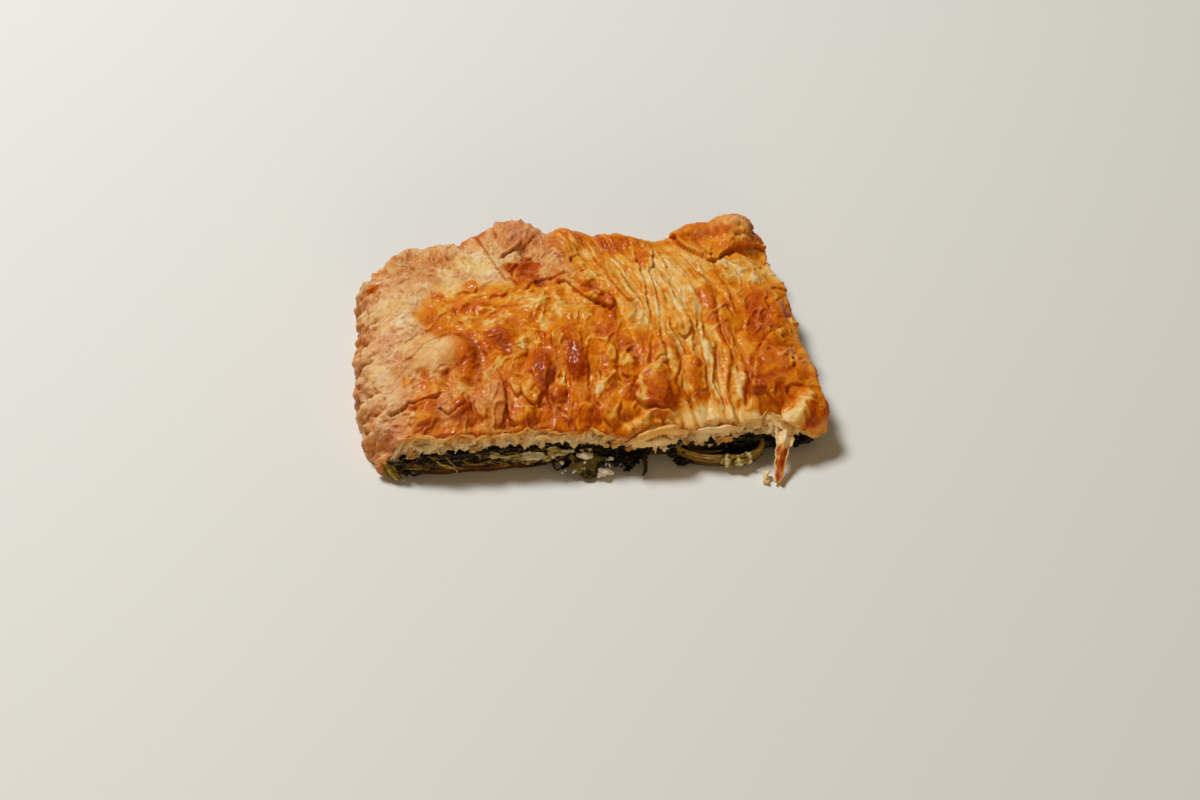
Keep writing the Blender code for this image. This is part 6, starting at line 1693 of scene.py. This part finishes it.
# The spinach at the cut: leaves drawn at seeded places along the front and the right end, and a
# cluster of them that spills forward at the middle.
def buildSpinach():
    draw = np.random.default_rng(451)
    count, *look = leaves["front"]
    x = np.linspace(-66.0, 70.0, count) + draw.uniform(-1.5, 1.5, count)
    sway = np.interp(x, form["swayPlaces"], form["swayAmounts"])
    z = draw.uniform(1.6, 7.6, count)
    centres = np.stack([x, -52.2 + 0.6 * sway + draw.uniform(-0.6, 0.9, count), z], axis=-1)
    grids = [scatteredLeaves(draw, centres, *look)]
    shades = [draw.uniform(0.0, 0.75, count) + 0.02 * smooth((-12.0 - x) / 10.0)]
    count, *look = leaves["end"]
    y = np.linspace(-46.0, 38.0, count) + draw.uniform(-1.2, 1.2, count)
    x = 74.2 - 2.0 * smooth((y - 22.0) / 14.0) + draw.uniform(-0.8, 0.5, count)
    centres = np.stack([x, y, draw.uniform(3.6, 7.8, count)], axis=-1)
    grids.append(scatteredLeaves(draw, centres, *look))
    shades.append(draw.uniform(0.0, 0.7, count))
    count, *look = leaves["cluster"]
    place = draw.uniform(0.0, 1.0, count)
    x = draw.uniform(-10.5, 17.0, count)
    centres = np.stack([x, -51.5 - 6.0 * place, 6.2 - 4.4 * place], axis=-1)
    grids.append(scatteredLeaves(draw, centres, *look))
    shades.append(draw.uniform(0.0, 0.5, count))
    # dark leaves in the hollow of the leek loop and six by the corner
    count, *look = leaves["hollow"]
    place = draw.uniform(0.0, 1.0, count)
    x = np.concatenate([np.linspace(27.0, 53.0, count - 6), np.linspace(60.0, 71.0, 6)])
    centres = np.stack([x, -52.4 - 4.2 * place * (x < 55.0), 5.4 - 3.6 * place], axis=-1)
    grids.append(scatteredLeaves(draw, centres, *look))
    shades.append(draw.uniform(0.0, 0.55, count))
    grids.append(leafGrids(*zip(*leaves["named"]), 0.35, 455))
    shades.append(leaves["namedShades"])
    grids = np.concatenate(grids)
    floor = np.where(grids[..., 1] > -52.2, form["bottomCrust"] + form["layerGap"], filling["lowest"])
    grids[..., 2] = np.clip(grids[..., 2], floor, leaves["highest"])
    points, faces = thinSheets(grids, leaves["thickness"])
    masks = {"shade": perSheet(np.concatenate(shades), grids)}
    addPiece("spinach_leaves", points, [faces], masks, spinachFinish, "filling")


# The cheese: lumpy balls at their places, and seeded crumbs along the cut.
def buildCheese():
    draw = np.random.default_rng(461)
    lumps = lumpyBalls(*zip(*filling["cheese"]), 0.34, 462, 16, 26)
    crumbs = filling["crumbs"]
    x = draw.uniform(-26.0, 20.0, crumbs)
    x[: crumbs // 2] = draw.normal(-3.0, 5.0, crumbs // 2)
    drop = draw.uniform(0.0, 1.0, crumbs) * (np.abs(x + 1.0) < 12.0)
    z = 6.6 - 4.2 * drop + draw.uniform(-1.2, 0.8, crumbs)
    centres = np.stack([x, -52.2 - 6.5 * drop, z], axis=-1)
    radii = draw.uniform(0.18, 0.7, (crumbs, 1)) * draw.uniform(0.5, 1.2, (crumbs, 3))
    points, faces = joined([lumps, lumpyBalls(centres, radii, 0.4, 463, 4, 6)])
    points[:, 2] = np.maximum(points[:, 2], filling["lowest"])
    shade = np.clip(0.62 + 0.25 * noise(points[:, 0] + points[:, 2], points[:, 1], 1.6, 464), 0.0, 1.0)
    addPiece("cheese_lumps", points, faces, {"shade": shade}, cheeseFinish, "filling")


leek = {
    # the loop of leek, and its half height and half thickness
    "loop": ((24.5, -49.6, 4.4), (28.0, -54.4, 3.4), (34.0, -57.2, 2.7), (41.5, -58.4, 2.6),
             (48.5, -58.6, 2.6), (53.4, -56.2, 3.2), (54.6, -52.4, 4.4), (51.5, -48.8, 5.0)),
    "halfHeight": 2.3,
    "halfThickness": 0.9,
    "columns": 56,
    # the ribbed end of leek inside the loop, its half height and half thickness
    "end": ((40.6, -58.4, 3.4), (43.4, -59.8, 3.2), (46.6, -60.0, 3.5), (49.6, -58.6, 3.6)),
    "endHalfHeight": 2.1,
    "endHalfThickness": 1.4,
    "endColumns": 48,
    # slices of onion and leek in the cut: how many and the stretch of the front they lie in
    "slices": 56,
    "sliceStretch": (-62.0, -9.0),
    "sliceThickness": 0.35,
    "lowest": 0.35,
    # stems and fibres: run, radius, shade
    "stems": (
        (((13.0, -51.0, 4.6), (15.0, -55.2, 3.8), (15.0, -59.2, 1.8), (13.6, -61.2, 1.2)), 0.8, 0.1),
        (((29.0, -52.0, 4.6), (34.0, -55.4, 4.4), (41.0, -55.8, 4.6)), 0.8, 0.2),
        (((-68.6, -49.4, 5.0), (-67.8, -52.4, 3.6), (-65.6, -54.4, 1.2)), 0.9, 0.75),
        (((-67.2, -49.4, 4.4), (-66.0, -52.8, 3.0), (-64.4, -53.8, 1.0)), 0.7, 0.5),
        (((-69.6, -49.6, 4.4), (-69.4, -52.0, 2.6), (-68.2, -53.2, 1.0)), 0.6, 0.6),
        (((-54.0, -50.5, 6.6), (-51.4, -52.8, 5.4), (-49.0, -53.6, 5.0), (-46.4, -54.0, 3.2),
          (-46.8, -54.2, 2.0)), 0.4, 0.8),
        (((-50.0, -51.0, 7.0), (-48.2, -53.2, 6.2), (-46.6, -53.6, 4.2), (-44.2, -53.8, 3.8)), 0.3, 0.7),
        (((-52.6, -51.0, 4.2), (-49.0, -53.4, 4.0), (-46.6, -53.8, 4.8)), 0.35, 0.75),
        (((-46.0, -49.5, 5.6), (-41.0, -53.6, 5.0), (-33.0, -51.0, 4.4)), 0.5, 0.55),
        (((-36.0, -51.0, 6.8), (-31.0, -53.0, 6.6), (-26.0, -52.6, 7.0)), 0.45, 0.9),
        (((-14.5, -51.0, 4.6), (-14.8, -54.4, 2.6), (-13.6, -55.0, 0.9), (-12.0, -54.4, 1.6)), 0.45, 0.0),
        (((-6.0, -56.0, 2.6), (-5.6, -59.6, 1.6), (-3.6, -60.6, 1.2), (-2.6, -59.4, 2.0)), 0.5, 0.1),
    ),
}


# Leek and stems: tubes along smooth runs, the loop's cross-section tall, thin and ribbed.
def buildLeek():
    loop = smoothRun(leek["loop"], 26)
    columns = leek["columns"]
    points, quads, tips = tubeAlong(loop, leek["halfThickness"], leek["halfHeight"], columns)
    steps = len(loop)
    turn = np.tile(np.linspace(0.0, 2.0 * math.pi, columns, endpoint=False), steps)
    ribs = 0.07 * np.cos(9.0 * turn) + 0.05 * np.cos(5.0 * turn + 1.0)
    centre = np.repeat(loop, columns, axis=0)
    points[:-2] += (points[:-2] - centre) * ribs[:, None]
    walk = np.repeat(np.arange(steps) / steps, columns)
    points[:-2, 2] += 0.35 * noise(40.0 * walk, np.cos(turn), 3.0, 471)
    sets = [(points, quads, tips)]
    # paler along the loop's upper edge and darker along its foot: painted light and shade
    shades = [0.42 + np.concatenate([0.10 * np.cos(9.0 * turn) + 0.22 * np.sin(turn), [0, 0]])]
    # the ribbed green and white end of leek inside the loop
    run = smoothRun(leek["end"], 20)
    columns = leek["endColumns"]
    end = tubeAlong(run, leek["endHalfThickness"], leek["endHalfHeight"], columns)
    turn = np.tile(np.linspace(0.0, 2.0 * math.pi, columns, endpoint=False), len(run))
    stripe = np.cos(9.0 * turn + 2.0 * np.repeat(np.arange(len(run)) / len(run), columns))
    walk = np.repeat(np.arange(len(run)), columns) * 0.17
    crumple = noise(walk, 3.0 * np.cos(turn), 1.9, 474) + 0.6 * noise(walk, 3.0 * np.sin(turn), 1.1, 475)
    outward = end[0][:-2] - np.repeat(run, columns, axis=0)
    end[0][:-2] += outward * (0.04 * stripe + 0.42 * crumple)[:, None]
    sets.append(end)
    # paler on the bulges of the crumple and darker in its dents: painted light and shade, over the green and
    # white stripes
    shades.append(np.concatenate([0.66 + 0.12 * stripe + 0.6 * crumple, [0.6, 0.6]]))
    for run, radius, shade in leek["stems"]:
        curve = smoothRun(run, 12)
        taper = radius * (1.0 - 0.45 * np.linspace(0, 1, len(curve)) ** 2)
        piece = tubeAlong(curve, taper, 0.7 * taper, 10)
        sets.append(piece)
        shades.append(np.full(len(piece[0]), shade))
    draw = np.random.default_rng(472)
    count = leek["slices"]
    low, high = leek["sliceStretch"]
    x = np.linspace(low, high, count) + draw.uniform(-0.8, 0.8, count)
    sway = np.interp(x, form["swayPlaces"], form["swayAmounts"])
    y = -53.1 + 0.7 * sway - draw.uniform(0.0, 0.7, count)
    centres = np.stack([x, y, draw.uniform(2.6, 7.8, count)], axis=-1)
    lengths = draw.uniform(1.2, 3.4, count)
    widths = draw.uniform(0.5, 1.3, count)
    shade = draw.uniform(0.3, 0.9, count) * (1.0 - 0.45 * smooth((-36.0 - x) / 8.0))
    # the one long cream slice
    centres[-9], lengths[-9], widths[-9], shade[-9] = (-21.6, -53.6, 6.4), 4.2, 1.3, 1.05
    grids = leafGrids(centres, lengths, widths, draw.uniform(-0.2, 0.2, count),
                      draw.uniform(0.7, 1.5, count), draw.uniform(-0.35, 0.35, count), 0.3, 473)
    sets.append((*thinSheets(grids, leek["sliceThickness"]), None))
    shades.append(perSheet(shade, grids))
    points, faces = joined(sets)
    points[:, 2] = np.maximum(points[:, 2], leek["lowest"])
    masks = {"shade": np.clip(np.concatenate(shades), 0.0, 1.0)}
    addPiece("leek_and_stems", points, faces, masks, leekFinish, "filling")


buildCore()
buildSpinach()
buildCheese()
buildLeek()
print("filling made")
buildShreds()
print("shreds made")


studio = {
    "eye": (-0.0856, -0.56485, 0.4831),
    "aim": (0.0019, -0.03345, 0.016),
    "lens": 65.0,
    "roll": 1.91,
    "floorColour": "ECEEE7",
    "worldColour": "FFDFB6",
    "worldStrength": 0.115,
    # lights: place, size, power, colour
    "lights": (
        ((-0.62, 0.88, 1.55), (0.46, 0.46), 29.0, "FDFDFF"),
        ((0.05, -1.55, 0.38), (0.90, 0.30), 5.5, "FFDDB0"),
    ),
}


# A pale floor, two soft lights and the camera.
def buildStudio():
    half = 2.0
    mesh = bpy.data.meshes.new("floor")
    low = cadBox[0][2]
    corners = [(-half, -half, low), (half, -half, low), (half, half, low), (-half, half, low)]
    mesh.from_pydata(corners, [], [(0, 1, 2, 3)])
    floor = bpy.data.objects.new("floor", mesh)
    bpy.context.scene.collection.objects.link(floor)
    finish = bpy.data.materials.new("pale floor")
    finish.use_nodes = True
    shader = finish.node_tree.nodes["Principled BSDF"]
    shader.inputs["Base Color"].default_value = screen(studio["floorColour"])
    shader.inputs["Roughness"].default_value = 0.6
    mesh.materials.append(finish)

    world = bpy.data.worlds.new("soft light")
    bpy.context.scene.world = world
    world.use_nodes = True
    background = world.node_tree.nodes["Background"]
    background.inputs["Color"].default_value = screen(studio["worldColour"])
    background.inputs["Strength"].default_value = studio["worldStrength"]
    for index, (place, size, power, colour) in enumerate(studio["lights"]):
        light = bpy.data.lights.new(f"softbox_{index}", "AREA")
        light.shape = "RECTANGLE"
        light.size, light.size_y = size
        light.energy = power
        light.color = screen(colour)[:3]
        lamp = bpy.data.objects.new(f"softbox_{index}", light)
        lamp.location = place
        lamp.rotation_euler = (-Vector(place)).to_track_quat("-Z", "Y").to_euler()
        bpy.context.scene.collection.objects.link(lamp)

    lens = bpy.data.cameras.new("camera")
    lens.lens = studio["lens"]
    lens.sensor_width = 36.0
    camera = bpy.data.objects.new("camera", lens)
    eye = Vector(studio["eye"])
    look = (Vector(studio["aim"]) - eye).to_track_quat("-Z", "Y").to_matrix().to_4x4()
    camera.matrix_world = Matrix.Translation(eye) @ look @ Matrix.Rotation(math.radians(studio["roll"]), 4, "Z")
    bpy.context.scene.collection.objects.link(camera)
    bpy.context.scene.camera = camera
    bpy.context.scene.view_settings.view_transform = "Standard"


buildStudio()
print("studio made")
